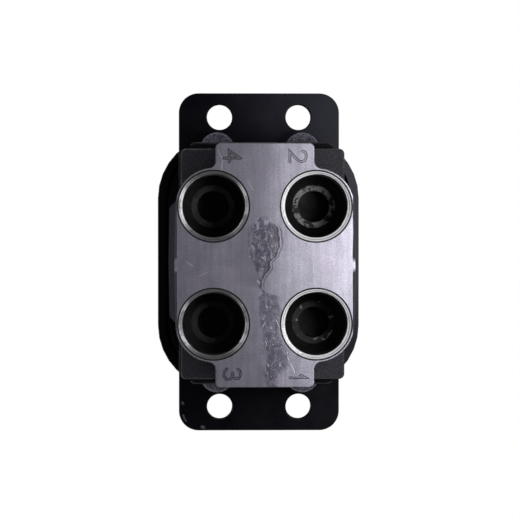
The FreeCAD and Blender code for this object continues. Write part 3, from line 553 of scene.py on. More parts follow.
def machined_face(settings):
    """Milled aluminium with scuffs, dents, single scratches and a smear down its middle, with painted shade
    and painted glints.
    """
    look = Finish("machined_face")
    metal, spot = settings.face_colour, look.place
    fine = look.group("fine_scratches", spot, Scale=90.0, Amount=0.5)
    mottle = look.group("mottle", spot, Scale=150.0)
    speckle = look.noise(spot, 1900.0, 3.0, 0.65)
    smear, ridge, film_and_painted_light, lower = smear_masks(look)
    folds = look.noise(look.stretched(spot, (1.3, 0.75, 1.0), 0.5), 430.0, 6.0, 0.68, 0.9)
    creases = abs(folds - 0.5).fade(0.006, 0.03).or_more(folds.step(0.40, 0.56, 1.0, 0.12))
    # Painted highlights: bright glints on the smear's folds, fewer on its lower part.
    painted_glints = folds.step(0.57, 0.64) * smear * (1.0 - lower * 0.75)
    specks = look.result("ShaderNodeTexVoronoi", "Distance", {"Vector": spot, "Scale": 420.0})
    specks = specks.fade(0.07, 0.13) * smear
    dents = look.noise(spot, 330.0, 2.0, 0.4).step(0.72, 0.77)
    milling = look.noise(look.stretched(spot, (1.0, 30.0, 1.0), 1.5), 90.0, 3.0)
    blush = look.noise(spot, 75.0, 3.0, 0.6, 0.5).step(0.45, 0.70, 0.0, 0.5)
    brushed = look.noise(look.stretched(spot, (1.0, 0.06, 1.0)), 700.0, 3.0, 0.6)
    lines = scratch_lines(look, FACE_SCRATCHES)
    # Scratches and specks as marks, with the glints as painted highlights.
    bright = (lines * 0.34).or_more(specks * 0.3).or_more(painted_glints * 0.30)
    deep = settings.digit_depth
    # Painted shade in the engraved strokes: their walls are made dark, their floors a little.
    engraved = look.z.run(0.02, 0.06) * look.z.step(deep - 0.04 * MM, deep - 0.01 * MM, 1.0, 0.25)
    painted = paint_border(look)

    base = look.varied(mottle, metal, 0.93, 1.06)
    base = look.mix(speckle.step(0.3, 0.7), look.mix(0.28, base, BLACK), base)
    base = look.layered(base, metal, (fine, 1.25))
    base = look.mix(blush, base, look.mix(1.0, base, (1.0, 0.915, 0.965, 1), "MULTIPLY"))
    base = look.mix(brushed.step(0.35, 0.65, 0.16, 0.0), base, BLACK)
    # Painted shade over the face's left side, from the mask above.
    base = look.layered(base, metal, (film_and_painted_light * 0.84, 0.26))
    dark = creases * (0.92 - lower * 0.58) + lower * 0.46
    base = look.mix(smear * dark, base, look.mix(0.5, tint(metal, 0.17), (0.060, 0.056, 0.100, 1)))
    base = look.layered(base, metal, (ridge * 0.85, 0.09), (dents * 0.35, 0.45), (bright, 1.6),
                        (mouth_edge_shade(port_distance(look, settings), settings), 0.02), (engraved * 0.96, 0.04))
    base = look.mix(painted, base, rgba(settings.paint_colour))

    roughness = mottle.step(0.0, 1.0, 0.37, 0.40) + smear * 0.03 + painted * 0.28
    height = creases * smear * -0.22 + (milling + speckle) * 0.07
    height = height - dents * 0.16 - ridge * 0.05 - lines.or_more(fine) * 0.12
    return look.done(base, painted.step(0.0, 1.0, 0.85, 0.0), roughness, height, 0.08,
                     painted.step(0.0, 1.0, 0.5, 0.1))


def cut_chamfer(settings):
    """Bright freshly cut ring at a port's mouth, darker at -X as painted shade; the thread's run-out is a
    fine dark line of painted shade.
    """
    look = Finish("cut_chamfer")
    spot = look.place
    away = port_distance(look, settings)
    chatter = look.noise(spot, 1100.0, 4.0, 0.7)
    # Painted shade: stains are strongest at -X, and the chamfers at -X are made darker, most at their ends
    # along Y.
    stain = look.noise(spot, 170.0, 4.0, 0.65, 0.4).step(0.40, 0.60) * look.x.run(-10, 4, 0.85, 0.04)
    left = look.x.run(-5, 5, 1.0, 0.0)
    rise = abs(abs(look.y) - settings.port_pitch_y / 2) / settings.port_mouth
    flecks = look.noise(spot, 800.0, 3.0, 0.6).step(0.66, 0.72)
    # Painted shade: a fine dark line where the chamfer meets the thread, also sunk a little in the relief.
    line = away.band(settings.port_root + LINE_INSET, *THREAD_SHADE_LINE)
    line = line * look.noise(spot, 60.0, 2.0).step(0.35, 0.45, 0.3, 0.6)
    base = look.varied(chatter, settings.chamfer_colour, 0.92, 1.08)
    base = look.layered(base, settings.chamfer_colour, (left * 0.42, 0.25),
                        (rise.step(0.40, 0.92, 0.0, 0.90) * left, 0.04), (stain, 0.14), (flecks * 0.5, 0.15),
                        (line, 0.04), (mouth_edge_shade(away, settings), 0.02))
    return look.done(base, 0.9, chatter.step(0.3, 0.7, 0.30, 0.44), chatter - line, 0.03)


def dark_bore(settings):
    """Near-black metal inside the ports as painted shade, with a painted lit ring on the floor of each."""
    look = Finish("dark_bore")
    floor_ring = port_distance(look, settings).band(*LIT_FLOOR_RING) * look.z.run(*BORE_FLOOR)
    # Painted light: the floor ring is made lighter, most towards +X and less towards +Y.
    painted_floor_light = look.noise(look.place, 260.0, 4.0, 0.6, 0.7) - look.y.run(-4, 12, 0.0, 0.13)
    painted_floor_light = painted_floor_light.step(0.43, 0.49) * look.x.run(2, 10, 0.03, 0.34)
    film_and_painted_light = look.noise(look.place, 500.0, 4.0, 0.6)
    base = look.varied(film_and_painted_light, settings.bore_shade_colour, 0.6, 1.5)
    base = look.layered(base, settings.chamfer_colour, (floor_ring * 0.02, 0.3), (floor_ring * painted_floor_light, 0.6))
    return look.done(base, 0.4, film_and_painted_light.step(0.3, 0.7, 0.5, 0.7), film_and_painted_light, 0.04)


def painted_metal(name, paint, bare, roughness, scratch, wear=0.3, grain=900.0, coarse=0.8, depth=0.16,
                  speckle=0.3, gloss=0.25, nicks=(), dust_and_sheen=None):
    """Black paint over rough or rolled metal, thin at its edges; a plate's underside gets a painted sheen."""
    look = Finish(name)
    mottle = look.group("mottle", look.place, Scale=40.0)
    relief = look.group("grain", look.place, Scale=grain, Coarse=coarse)
    worn = look.group("edge_wear", look.place, Scale=170.0, Amount=wear)
    lines = look.group("fine_scratches", look.place, Scale=75.0, Amount=scratch)
    spots = look.noise(look.place, grain * 1.6, 3.0, 0.7).step(0.35, 0.68, 1.0 - speckle, 1.0 + speckle)
    base = look.mix(1.0, look.varied(mottle, paint, 0.86, 1.15), spots, "MULTIPLY")
    base = look.layered(base, paint, (lines, 3.2))
    # Painted sheen on a plate's underside.
    if dust_and_sheen:
        base = look.mix(painted_underside_sheen(look), base, look.varied(mottle, dust_and_sheen, 0.9, 1.1))
    if nicks:
        worn = worn.or_more(scratch_lines(look, nicks))
    base = look.mix(worn, base, rgba(bare))
    rough = mottle.step(0.0, 1.0, roughness - 0.06, roughness + 0.08) - worn * 0.1
    return look.done(base, worn * 0.8, rough, relief - lines * 0.5, depth, look.dry_gloss(gloss))


def moulded_rubber(name, rubber, roughness, grain, dusty=2.0, film_and_painted_light=None):
    """Matt black rubber with mould grain, bloom in patches, a little dusting, painted shade on faces turned
    down and painted light under a boot's rim at +X.
    """
    look = Finish(name)
    up = look.facing_up()
    bloom = look.group("mottle", look.place, Scale=35.0)
    relief = look.group("grain", look.place, Scale=grain, Coarse=0.25)
    lines = look.group("fine_scratches", look.place, Scale=40.0, Amount=0.25)
    dust_and_sheen = up.step(-0.15, 0.7) * bloom.step(0.0, 1.0, 0.45, 0.9)
    base = look.varied(bloom, rubber, 0.75, 1.5)
    base = look.layered(base, rubber, (dust_and_sheen, dusty), (lines, dusty + 1.5))
    # Painted shade: faces turned down are made darker, and their gloss lower.
    base = look.mix(up.step(-0.75, -0.25, 0.8, 0.0), base, BLACK)
    # Painted light: the rim's underside at +X is made grey, fading towards +Y.
    if film_and_painted_light:
        side = look.x.run(25, 30) * look.y.run(10, 30, 1.0, 0.36) * up.fade(-0.9, -0.5)
        base = look.mix(side, base, look.varied(bloom, film_and_painted_light, 0.9, 1.1))
    rough = bloom.step(0.0, 1.0, roughness - 0.06, roughness + 0.1)
    return look.done(base, 0.0, rough, relief, 0.05, look.dry_gloss(up.step(-0.75, -0.25, 0.05, 0.25)))


def turned_metal(name, metal, roughness, line_scale, stain=0.35):
    """Metal with the fine rings left by turning or grinding, and faint stains."""
    look = Finish(name)
    rings = look.noise(look.stretched(look.place, (0.02, 0.02, 1.0)), line_scale, 3.0, 0.6)
    stains = look.group("mottle", look.place, Scale=120.0)
    lines = look.group("fine_scratches", look.place, Scale=80.0, Amount=0.4)
    base = look.varied(rings, metal, 0.85, 1.12)
    base = look.layered(base, metal, (stains * stain, 0.6), (lines, 1.35))
    rough = stains.step(0.0, 1.0, roughness - 0.05, roughness + 0.1)
    return look.done(base, 1.0, rough, rings + lines * -0.4, 0.02)


FINISHES = {}


def valve_material(slot):
    """The material of one of the record's slots, made once."""
    if slot not in FINISHES:
        FINISHES[slot] = new_finish(slot)
    return FINISHES[slot]


def new_finish(slot):
    """A new material for a slot, in the colours set in the sidebar."""
    scene = bpy.context.scene
    casting, plate, boot, lever = scene.valve_casting, scene.valve_plate, scene.valve_boot, scene.valve_lever
    makers = {
        "cast_housing": lambda: painted_metal(
            slot, casting.paint_colour, (0.20, 0.19, 0.20), 0.66, 0.03, speckle=0.32, gloss=0.12),
        "black_plate": lambda: painted_metal(
            slot, plate.plate_colour, (0.22, 0.22, 0.23), 0.33, 0.02, wear=0.35, grain=1500.0, coarse=0.2,
            depth=0.03, speckle=0.2, gloss=0.09, nicks=PLATE_NICKS, dust_and_sheen=plate.underside_sheen_colour),
        "black_screws": lambda: painted_metal(
            slot, plate.screw_colour, (0.18, 0.18, 0.18), 0.38, 0.3, wear=0.6, grain=1800.0, coarse=0.1,
            depth=0.02),
        "boot_rubber": lambda: moulded_rubber(slot, boot.rubber_colour, 0.62, 1300.0, 4.6, boot.lit_rim_colour),
        "seal_rubber": lambda: moulded_rubber(slot, lever.seal_colour, 0.45, 2500.0),
        "collar_plastic": lambda: moulded_rubber(slot, lever.plastic_colour, 0.5, 1800.0),
        "bronze": lambda: turned_metal(slot, lever.bronze_colour, 0.32, 3500.0),
        "ground_steel": lambda: turned_metal(slot, lever.ground_colour, 0.22, 6000.0, 0.2),
        "turned_steel": lambda: turned_metal(slot, lever.steel_colour, 0.34, 3000.0),
        "spring_steel": lambda: turned_metal(slot, lever.spring_colour, 0.36, 1500.0),
        "plated_nuts": lambda: turned_metal(slot, lever.zinc_colour, 0.34, 1500.0, 0.5),
    }
    return makers[slot]()


# Mesh helpers

def add_object(name, data, body=None):
    """Puts an object in the scene; a piece of the valve may ride on one body."""
    item = bpy.data.objects.new(name, data)
    bpy.context.scene.collection.objects.link(item)
    if body:
        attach(item, body)
    return item


def add_rigid(shape, name, node, body, even=True):
    """Puts a shape in a solid node's place; even weighs its normals by the size of its faces."""
    slot = NODE_SLOTS[node]
    item = add_object(name, shape_to_mesh(shape, name, [valve_material(slot)]), body)
    if even:
        even_normals(item)
    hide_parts(node)


def finish_node(node):
    """Gives a solid node that stays the material of its slot."""
    item = frame["nodes"][node]
    item.data.materials.clear()
    item.data.materials.append(valve_material(NODE_SLOTS[node]))


def node_mesh(node):
    """A copy of a solid node's mesh, in the valve's coordinates."""
    source = frame["nodes"][node]
    mesh = source.data.copy()
    mesh.transform(source.matrix_world)
    return mesh


def node_shape(node):
    """An editable copy of a solid node, with its flat faces whole again."""
    mesh = node_mesh(node)
    normals = mesh.attributes.get("custom_normal")
    if normals:
        mesh.attributes.remove(normals)
    shape = bmesh.new()
    shape.from_mesh(mesh)
    bpy.data.meshes.remove(mesh)
    bmesh.ops.remove_doubles(shape, verts=shape.verts, dist=MERGE_DISTANCE)
    bmesh.ops.dissolve_limit(shape, angle_limit=FLAT_ANGLE, verts=shape.verts, edges=shape.edges,
                             use_dissolve_boundaries=False)
    return shape


def edge_middle(edge):
    return (edge.verts[0].co + edge.verts[1].co) / 2


def is_saddle(vert):
    """Whether outward and inward creases cross here, where a rounding would run into its neighbours."""
    turns = [edge.calc_face_angle_signed() for edge in vert.link_edges if len(edge.link_faces) == 2]
    return sum(turn > SMOOTH_ANGLE for turn in turns) > 1 and sum(turn < -SMOOTH_ANGLE for turn in turns) > 1


def clear_of_saddles(shape, edges, gap):
    """The edges without what lies within a gap of a saddle; a long edge is cut there."""
    saddles = [vert for vert in shape.verts if is_saddle(vert)]
    kept = []
    for edge in edges:
        for vert in [vert for vert in edge.verts if vert in saddles]:
            if edge.calc_length() > 2 * gap:
                piece, _ = bmesh.utils.edge_split(edge, vert, gap / edge.calc_length())
                edge = piece if vert in edge.verts else edge
        if all((edge_middle(edge) - vert.co).length > gap for vert in saddles):
            kept.append(edge)
    return kept


def round_edges(shape, width, wanted=None, segments=3):
    """Rounds the outward edges that turn by more than a crease and that wanted picks by their middle."""
    edges = []
    for edge in shape.edges:
        if len(edge.link_faces) != 2 or edge.calc_face_angle_signed() < SMOOTH_ANGLE:
            continue
        if wanted is None or wanted(edge_middle(edge)):
            edges.append(edge)
    edges = clear_of_saddles(shape, edges, 2 * width)
    bmesh.ops.bevel(shape, geom=edges, offset=width, offset_type="OFFSET", segments=segments, profile=0.5,
                    affect="EDGES", clamp_overlap=False, loop_slide=True)


def smooth(mesh):
    """Shades a mesh smooth but for its creases."""
    mesh.shade_smooth()
    mesh.set_sharp_from_angle(angle=SMOOTH_ANGLE)


def even_normals(item):
    item.modifiers.new("even_normals", "WEIGHTED_NORMAL").keep_sharp = True


def shape_to_mesh(shape, name, materials):
    """A smooth mesh from a shape, which is used up."""
    mesh = bpy.data.meshes.new(name)
    shape.to_mesh(mesh)
    shape.free()
    for material in materials:
        mesh.materials.append(material)
    smooth(mesh)
    return mesh


def carved(item, cutter):
    """The item's mesh less the cutter's, which is used up."""
    modifier = item.modifiers.new("carve", "BOOLEAN")
    modifier.operation = "DIFFERENCE"
    modifier.solver = "EXACT"
    modifier.object = cutter
    bpy.context.view_layer.update()
    mesh = bpy.data.meshes.new_from_object(item.evaluated_get(bpy.context.evaluated_depsgraph_get()))
    item.modifiers.remove(modifier)
    bpy.data.objects.remove(cutter)
    return mesh


def clamped(value):
    """A value kept between 0 and 1."""
    return min(max(value, 0.0), 1.0)


def thread_tooth(turns, flank=2.7, root_flat=0.35):
    """Height of a thread's profile, 0 to 1, with flats at crest and root."""
    share = turns % 1.0
    return clamped((0.5 - abs(share - 0.5)) * flank - root_flat)


def skin(shape, rows, closed=False):
    """Faces between rings of points that all have the same count; gives the rings and the faces."""
    rings = [[shape.verts.new(point) for point in row] for row in rows]
    faces = []
    for low, high in zip(rings, rings[1:] + rings[:1] if closed else rings[1:]):
        for index in range(len(low)):
            after = (index + 1) % len(low)
            faces.append(shape.faces.new((low[index], low[after], high[after], high[index])))
    return rings, faces


def circle_row(where, radius_at, height, count):
    """A ring of points round the local Z of where; its radius depends on the share of a turn."""
    row = []
    for index in range(count):
        turn = index / count
        radius = radius_at(turn)
        angle = 2 * math.pi * turn
        row.append(where @ Vector((radius * math.cos(angle), radius * math.sin(angle), height)))
    return row


# Casting

PAINT, FACE, CHAMFER, BORE, SHADED_NECK, EAR = range(6)

# Places that tell the casting's edges and faces apart
NEAR, MARGIN, THREAD_LIP = 0.1 * MM, 0.2 * MM, 0.12 * MM
PORT_ZONE, END_ZONE, END_FACE = 30 * MM, 20 * MM, 40.4 * MM
LEDGE_HEIGHT, LEDGE_X, LEDGE_Y = 25 * MM, 27.95 * MM, 39.3 * MM
BORES_X, BORES_Y = 24.5 * MM, 28 * MM
EAR_X, EAR_Y, EAR_RADIUS, EAR_BOTTOM = 15 * MM, 39.7 * MM, 6.3 * MM, 55 * MM
COVER_SCREW_X, COVER_SCREW_Y = 20 * MM, 28 * MM
PLATE_SCREW_HOLE, COVER_SCREW_HOLE, HOLES_BOTTOM = 3.3 * MM, 3 * MM, 45 * MM
NECK_X, NECK_BOTTOM, NECK_FOOT = 25.2 * MM, 40.5 * MM, 39.9 * MM

# Strokes of the port numbers, across and up
DIGITS = {
    "1": [[(0.60, 0.66), (0.84, 1.0), (0.84, 0.0)]],
    "2": [[(0.02, 0.76), (0.10, 0.92), (0.30, 1.0), (0.60, 1.0), (0.86, 0.92), (0.97, 0.74), (0.90, 0.54),
           (0.66, 0.38), (0.06, 0.0), (1.0, 0.0)]],
    "3": [[(0.04, 0.84), (0.22, 0.98), (0.60, 1.0), (0.88, 0.90), (0.90, 0.66), (0.66, 0.54), (0.40, 0.52)],
          [(0.62, 0.52), (0.92, 0.42), (0.97, 0.16), (0.72, 0.0), (0.26, 0.0), (0.03, 0.18)]],
    "4": [[(1.0, 0.32), (0.0, 0.32), (0.62, 0.94)], [(0.66, 1.02), (0.66, 0.0)]],
}
PORT_DIGITS = {(1, 1): "1", (1, -1): "2", (-1, 1): "3", (-1, -1): "4"}
CUTTER_RISE, CUTTER_FLARE, CUTTER_TAPER = 0.3 * MM, 0.25 * MM, 0.20 * MM


def stroke_outline(points, half):
    """A band round a run of points, mitred at its bends and round at its ends."""
    points = [Vector(point) for point in points]
    left, right = [], []
    for index, point in enumerate(points):
        back = (point - points[index - 1]).normalized() if index else None
        ahead = (points[index + 1] - point).normalized() if index + 1 < len(points) else None
        heading = ((back or ahead) + (ahead or back)).normalized()
        across = Vector((-heading.y, heading.x))
        other = ahead or back
        reach = half / max(across.dot(Vector((-other.y, other.x))), 0.35)
        left.append(point + across * reach)
        right.append(point - across * reach)
    start, end = (points[0] - points[1]).normalized(), (points[-1] - points[-2]).normalized()

    def cap(centre, heading):
        first = math.atan2(heading.y, heading.x) + QUARTER
        angles = [first - math.radians(step) for step in (45, 90, 135)]
        return [centre + Vector((math.cos(angle), math.sin(angle))) * half for angle in angles]

    return left + cap(points[-1], end) + list(reversed(right)) + cap(points[0], start)


def digit_cutters(settings):
    """Two sets of flat-bottomed cutters along the strokes of the port numbers, none crossing its own set."""
    cutters = []
    for turn in (0, 1):
        shape = bmesh.new()
        for (side_x, side_y), digit in PORT_DIGITS.items():
            if turn >= len(DIGITS[digit]):
                continue
            run = [(settings.digit_place_x * side_x + (up - 0.5) * settings.digit_height,
                    settings.digit_place_y * side_y + (across - 0.5) * settings.digit_width)
                   for across, up in DIGITS[digit][turn]]
            rows = []
            for height, spread in ((-CUTTER_RISE, CUTTER_FLARE), (settings.digit_depth, -CUTTER_TAPER)):
                outline = stroke_outline(run, settings.digit_stroke / 2 + spread)
                rows.append([Vector((*point, height)) for point in outline])
            rings, _ = skin(shape, rows)
            shape.faces.new(list(reversed(rings[0])))
            shape.faces.new(rings[-1])
        bmesh.ops.recalc_face_normals(shape, faces=shape.faces)
        bmesh.ops.triangulate(shape, faces=shape.faces)
        mesh = bpy.data.meshes.new("digit_cutter")
        shape.to_mesh(mesh)
        shape.free()
        cutters.append(add_object("digit_cutter", mesh))
    return cutters


def corner_distance(point, x, y):
    """Distance seen along Z from the nearest of four axes at plus and minus x and y."""
    return math.hypot(abs(point.x) - x, abs(point.y) - y)


def work_port_distance(settings, point):
    return corner_distance(point, settings.port_pitch_x / 2, settings.port_pitch_y / 2)


def end_port_distance(settings, point):
    return math.hypot(point.x, point.z - settings.supply_height)


def is_outer_edge(settings, point):
    """Whether an edge of the casting is on its outside, clear of bores and of the face under the plate."""
    if point.z > CASING_TOP.z - MARGIN or point.z < NEAR:
        return False
    if work_port_distance(settings, point) < settings.port_mouth + MARGIN and point.z < PORT_ZONE:
        return False
    if end_port_distance(settings, point) < settings.supply_mouth + MARGIN and abs(point.y) > END_ZONE:
        return False
    if abs(point.z - LEDGE_HEIGHT) < NEAR and (abs(point.x) > LEDGE_X or abs(point.y) > LEDGE_Y):
        return False
    in_bores = abs(point.x) < BORES_X and abs(point.y) < BORES_Y
    in_screws = (corner_distance(point, EAR_X, EAR_Y) < PLATE_SCREW_HOLE
                 or corner_distance(point, COVER_SCREW_X, COVER_SCREW_Y) < COVER_SCREW_HOLE)
    return not in_bores and not (point.z > HOLES_BOTTOM and in_screws)


def is_face_rim(settings, point):
    """Whether an edge belongs to the outline of the port face."""
    return point.z < NEAR and work_port_distance(settings, point) > settings.port_mouth + MARGIN


def is_thread_wall(settings, face):
    """Whether a face is the plain wall that a thread takes the place of."""
    centre = face.calc_center_median()
    away = work_port_distance(settings, centre)
    if (settings.port_crest - NEAR < away < settings.port_mouth and abs(face.normal.z) < 0.9
            and 0 < centre.z < settings.port_depth - NEAR):
        return True
    away = end_port_distance(settings, centre)
    return (settings.supply_crest - NEAR < away < settings.supply_mouth and abs(face.normal.y) < 0.9
            and CASING_TOP.y - settings.supply_depth + NEAR < abs(centre.y) < CASING_TOP.y)


def threaded_wall(shape, where, mouth, crest, root, depth, pitch, slope, count=72):
    """Chamfer and internal thread of a port, from its mouth down along the local Z of where."""
    heights = [0.0, THREAD_LIP]
    while heights[-1] < depth - pitch / 6:
        fine = heights[-1] < mouth - crest + pitch
        heights.append(heights[-1] + (pitch / 12 if fine else pitch / 6))
    heights[-1] = depth
    rows = []
    for height in heights:
        def radius_at(turn, height=height):
            fade = clamped((depth - height) / pitch)
            tooth = thread_tooth(height / pitch + turn) * fade
            return max(mouth - height * slope, crest + (root - crest) * tooth)
        rows.append(circle_row(where, radius_at, height, count))
    _, faces = skin(shape, [list(reversed(row)) for row in rows])
    for face in faces:
        local = where.inverted() @ face.calc_center_median()
        chamfered = math.hypot(local.x, local.y) > crest + THREAD_LIP and local.z < (mouth - crest) / slope
        face.material_index = CHAMFER if chamfered else BORE


def port_places(settings):
    """(matrix, mouth, crest, root, depth) of each port, local Z leading into the casting."""
    work = (settings.port_mouth, settings.port_crest, settings.port_root, settings.port_depth)
    supply = (settings.supply_mouth, settings.supply_crest, settings.supply_root, settings.supply_depth)
    places = []
    half_x, half_y = settings.port_pitch_x / 2, settings.port_pitch_y / 2
    for side_x, side_y in PORT_DIGITS:
        places.append((Matrix.Translation((half_x * side_x, half_y * side_y, 0)), *work))
    for side in (1, -1):
        where = Matrix.Translation((0, END_FACE * side, settings.supply_height))
        places.append((where @ Matrix.Rotation(QUARTER * side, 4, "X"), *supply))
    return places


def casting_finish(settings, face):
    """Which of the casting's finishes a face has."""
    centre, normal = face.calc_center_median(), face.normal
    in_face = normal.z < -0.2 or abs(centre.y) < CASING_TOP.y - 0.5 * MM
    if in_face and centre.z < settings.digit_depth * 1.01:
        return FACE
    if work_port_distance(settings, centre) < settings.port_mouth and centre.z < PORT_ZONE:
        return BORE
    if end_port_distance(settings, centre) < settings.supply_mouth and abs(centre.y) < END_FACE - NEAR:
        return BORE
    if corner_distance(centre, EAR_X, EAR_Y) < EAR_RADIUS and centre.z > EAR_BOTTOM:
        return EAR
    # The neck under the plate gets the painted shade finish.
    if abs(centre.x) < NECK_X and (centre.z > NECK_BOTTOM or centre.z > NECK_FOOT and normal.z < -0.5):
        return SHADED_NECK
    return PAINT


class VALVE_OT_casting(bpy.types.Operator):
    """Build the ported casting with rounded edges, engraved numbers and threads"""

    bl_idname = "valve.casting"
    bl_label = "Casting"

    def execute(self, context):
        settings = context.scene.valve_casting
        shape = node_shape("casing")
        round_edges(shape, settings.cast_round, lambda point: is_outer_edge(settings, point))
        round_edges(shape, settings.face_round, lambda point: is_face_rim(settings, point), 2)
        # Painted shade: the neck gets a near-black copy of the casting's paint.
        neck = painted_metal("cast_neck", settings.neck_shade_colour, (0.16, 0.16, 0.17), 0.6, 0.1, wear=0.2,
                             depth=0.12, speckle=0.4, gloss=0.15)
        ears = painted_metal("cast_ears", settings.ear_colour, (0.22, 0.21, 0.22), 0.65, 0.1, speckle=0.6,
                             gloss=0.2)
        bare = [machined_face(settings), cut_chamfer(settings), dark_bore(settings)]
        mesh = shape_to_mesh(shape, "casting", [valve_material("cast_housing"), *bare, neck, ears])
        item = add_object("casting", mesh, "valve_body")
        for cutter in digit_cutters(settings):
            item.data = carved(item, cutter)
        self.finish_ports(settings, item.data)
        smooth(item.data)
        even_normals(item)
        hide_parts("casing")
        return {"FINISHED"}

    def finish_ports(self, settings, mesh):
        """Gives each face its finish and puts threaded walls in place of the plain ones."""
        shape = bmesh.new()
        shape.from_mesh(mesh)
        shape.normal_update()
        for face in shape.faces:
            face.material_index = casting_finish(settings, face)
        walls = [face for face in shape.faces if is_thread_wall(settings, face)]
        bmesh.ops.delete(shape, geom=walls, context="FACES")
        for port in port_places(settings):
            threaded_wall(shape, *port, settings.thread_pitch, settings.chamfer_slope)
        shape.to_mesh(mesh)
        shape.free()


# Plates and screws

HOLES_START, SIDES_END, SIDE_WIDTH = 46.5 * MM, 38 * MM, 9 * MM


class VALVE_OT_plates(bpy.types.Operator):
    """Build the painted mounting plate and finish the boot flange and the screws"""

    bl_idname = "valve.plates"
    bl_label = "Plates and screws"

    def execute(self, context):
        shape = node_shape("mounting_plate")
        round_edges(shape, context.scene.valve_plate.edge_round, self.is_outer)
        add_rigid(shape, "mounting_plate_painted", "mounting_plate", "valve_body")
        for node in ("cover_plate", "plate_screws", "cover_screws"):
            finish_node(node)
        return {"FINISHED"}

    @staticmethod
    def is_outer(point):
        """Outline and mounting holes, but not the bores hidden by the casting."""
        on_side = abs(point.x) > PLATE_TOP.x - SIDE_WIDTH and abs(point.y) < SIDES_END
        return on_side or abs(point.y) > HOLES_START


# Boot

# Rise and inset of the rim's outline, from its foot and from its top, in millimetres
RIM_FOOT = ((0.0, 0.7), (0.25, 0.2), (0.7, 0.0))
RIM_TOP = ((-1.6, 0.0), (-0.5, 0.35), (0.5, 1.1))
TIP_STEPS = (0.0, 0.25, 0.5, 0.75, 1.0)
NECK_EDGE, LIP = 0.6 * MM, 0.5 * MM
FLANGE_SLACK, FLANGE_GAP = 0.3 * MM, 0.05 * MM


def rounded_row(half_x, half_y, corner, height, straight=4, steps=8):
    """Points round a rectangle with rounded corners, counted alike at every level."""
    corner = min(corner, half_x, half_y)
    arcs = []
    for quarter, (side_x, side_y) in enumerate(((1, 1), (-1, 1), (-1, -1), (1, -1))):
        centre = Vector(((half_x - corner) * side_x, (half_y - corner) * side_y, height))
        angles = [QUARTER * (quarter + step / steps) for step in range(steps + 1)]
        arcs.append([centre + Vector((math.cos(angle), math.sin(angle), 0)) * corner for angle in angles])
    row = []
    for arc, after in zip(arcs, arcs[1:] + arcs[:1]):
        row += arc + [arc[-1].lerp(after[0], step / straight) for step in range(1, straight)]
    return row


def boot_levels(settings):
    """(height, half_x, half_y) up the outside of the boot, from rim to neck, with rounded fold tips."""
    rim_top = BOOT_BOTTOM.z + settings.rim_height
    rim = [(BOOT_BOTTOM.z + rise * MM, inset * MM) for rise, inset in RIM_FOOT]
    rim += [(rim_top + rise * MM, inset * MM) for rise, inset in RIM_TOP]
    rim.append((rim_top + settings.shoulder, settings.shoulder + LIP))
    levels = [(height, BOOT_TOP.x - inset, BOOT_TOP.y - inset) for height, inset in rim]
    top = settings.fold_bottom + settings.fold_pitch * settings.folds

    def crest_line(height):
        climb = (height - settings.fold_bottom) / (top - settings.fold_bottom)
        return tuple(foot + (settings.crown - foot) * climb for foot in (settings.foot_x, settings.foot_y))

    tips = []
    for fold in range(settings.folds):
        valley = settings.fold_bottom + settings.fold_pitch * fold
        tips.append((valley, *(half - settings.fold_depth for half in crest_line(valley))))
        crest = valley + settings.fold_pitch / 2
        tips.append((crest, *crest_line(crest)))
    tips.append((top, settings.neck_radius, settings.neck_radius))
    neck = (BOOT_TOP.z, settings.neck_radius, settings.neck_radius)
    for before, tip, after in zip([levels[-1], *tips], tips, [*tips[1:], neck]):
        levels += rounded_tip(Vector(before), Vector(tip), Vector(after), settings.tip_round)
    levels.append((BOOT_TOP.z - NECK_EDGE, settings.neck_radius, settings.neck_radius))
    levels.append((BOOT_TOP.z, settings.neck_radius - LIP, settings.neck_radius - LIP))
    return levels


def rounded_tip(before, tip, after, reach):
    """Five levels that turn a fold's sharp tip into a soft one."""
    start = tip + (before - tip).normalized() * reach
    end = tip + (after - tip).normalized() * reach
    return [tuple(start.lerp(tip, step).lerp(tip.lerp(end, step), step)) for step in TIP_STEPS]


def boot_row(settings, height, half_x, half_y, wall=0.0):
    """A ring of the boot's skin, whose corners grow rounder from the rim to the round neck."""
    rim_share = settings.rim_corner / BOOT_TOP.x
    climb = (height - BOOT_BOTTOM.z) / (BOOT_TOP.z - BOOT_BOTTOM.z)
    corner = (half_x - wall) * (rim_share + (1.0 - rim_share) * climb)
    return rounded_row(half_x - wall, half_y - wall, corner, height)


def add_boot_half(settings, name, levels):
    """A closed skin over some of the boot's levels."""
    rows = [boot_row(settings, *level) for level in levels]
    for level in reversed(levels):
        on_flange = level[0] < COVER_TOP.z + FLANGE_SLACK
        wall = BOOT_TOP.x - COVER_TOP.x - FLANGE_GAP if on_flange else settings.wall
        rows.append(boot_row(settings, *level, wall))
    shape = bmesh.new()
    skin(shape, rows, closed=True)
    item = add_object(name, shape_to_mesh(shape, name, [valve_material("boot_rubber")]))
    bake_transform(item)
    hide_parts("boot")


class VALVE_OT_boot(bpy.types.Operator):
    """Build the folded rubber boot in two halves"""

    bl_idname = "valve.boot"
    bl_label = "Boot"

    def execute(self, context):
        settings = context.scene.valve_boot
        levels = boot_levels(settings)
        split = next(index for index, level in enumerate(levels) if level[0] >= settings.split_height)
        add_boot_half(settings, "boot_lower", levels[:split + 1])
        add_boot_half(settings, "boot_upper", levels[split:])
        return {"FINISHED"}


# Lever

THREAD_DEPTH = 0.61
TURN_POINTS = 48
RUN_OUT = 0.3 * MM


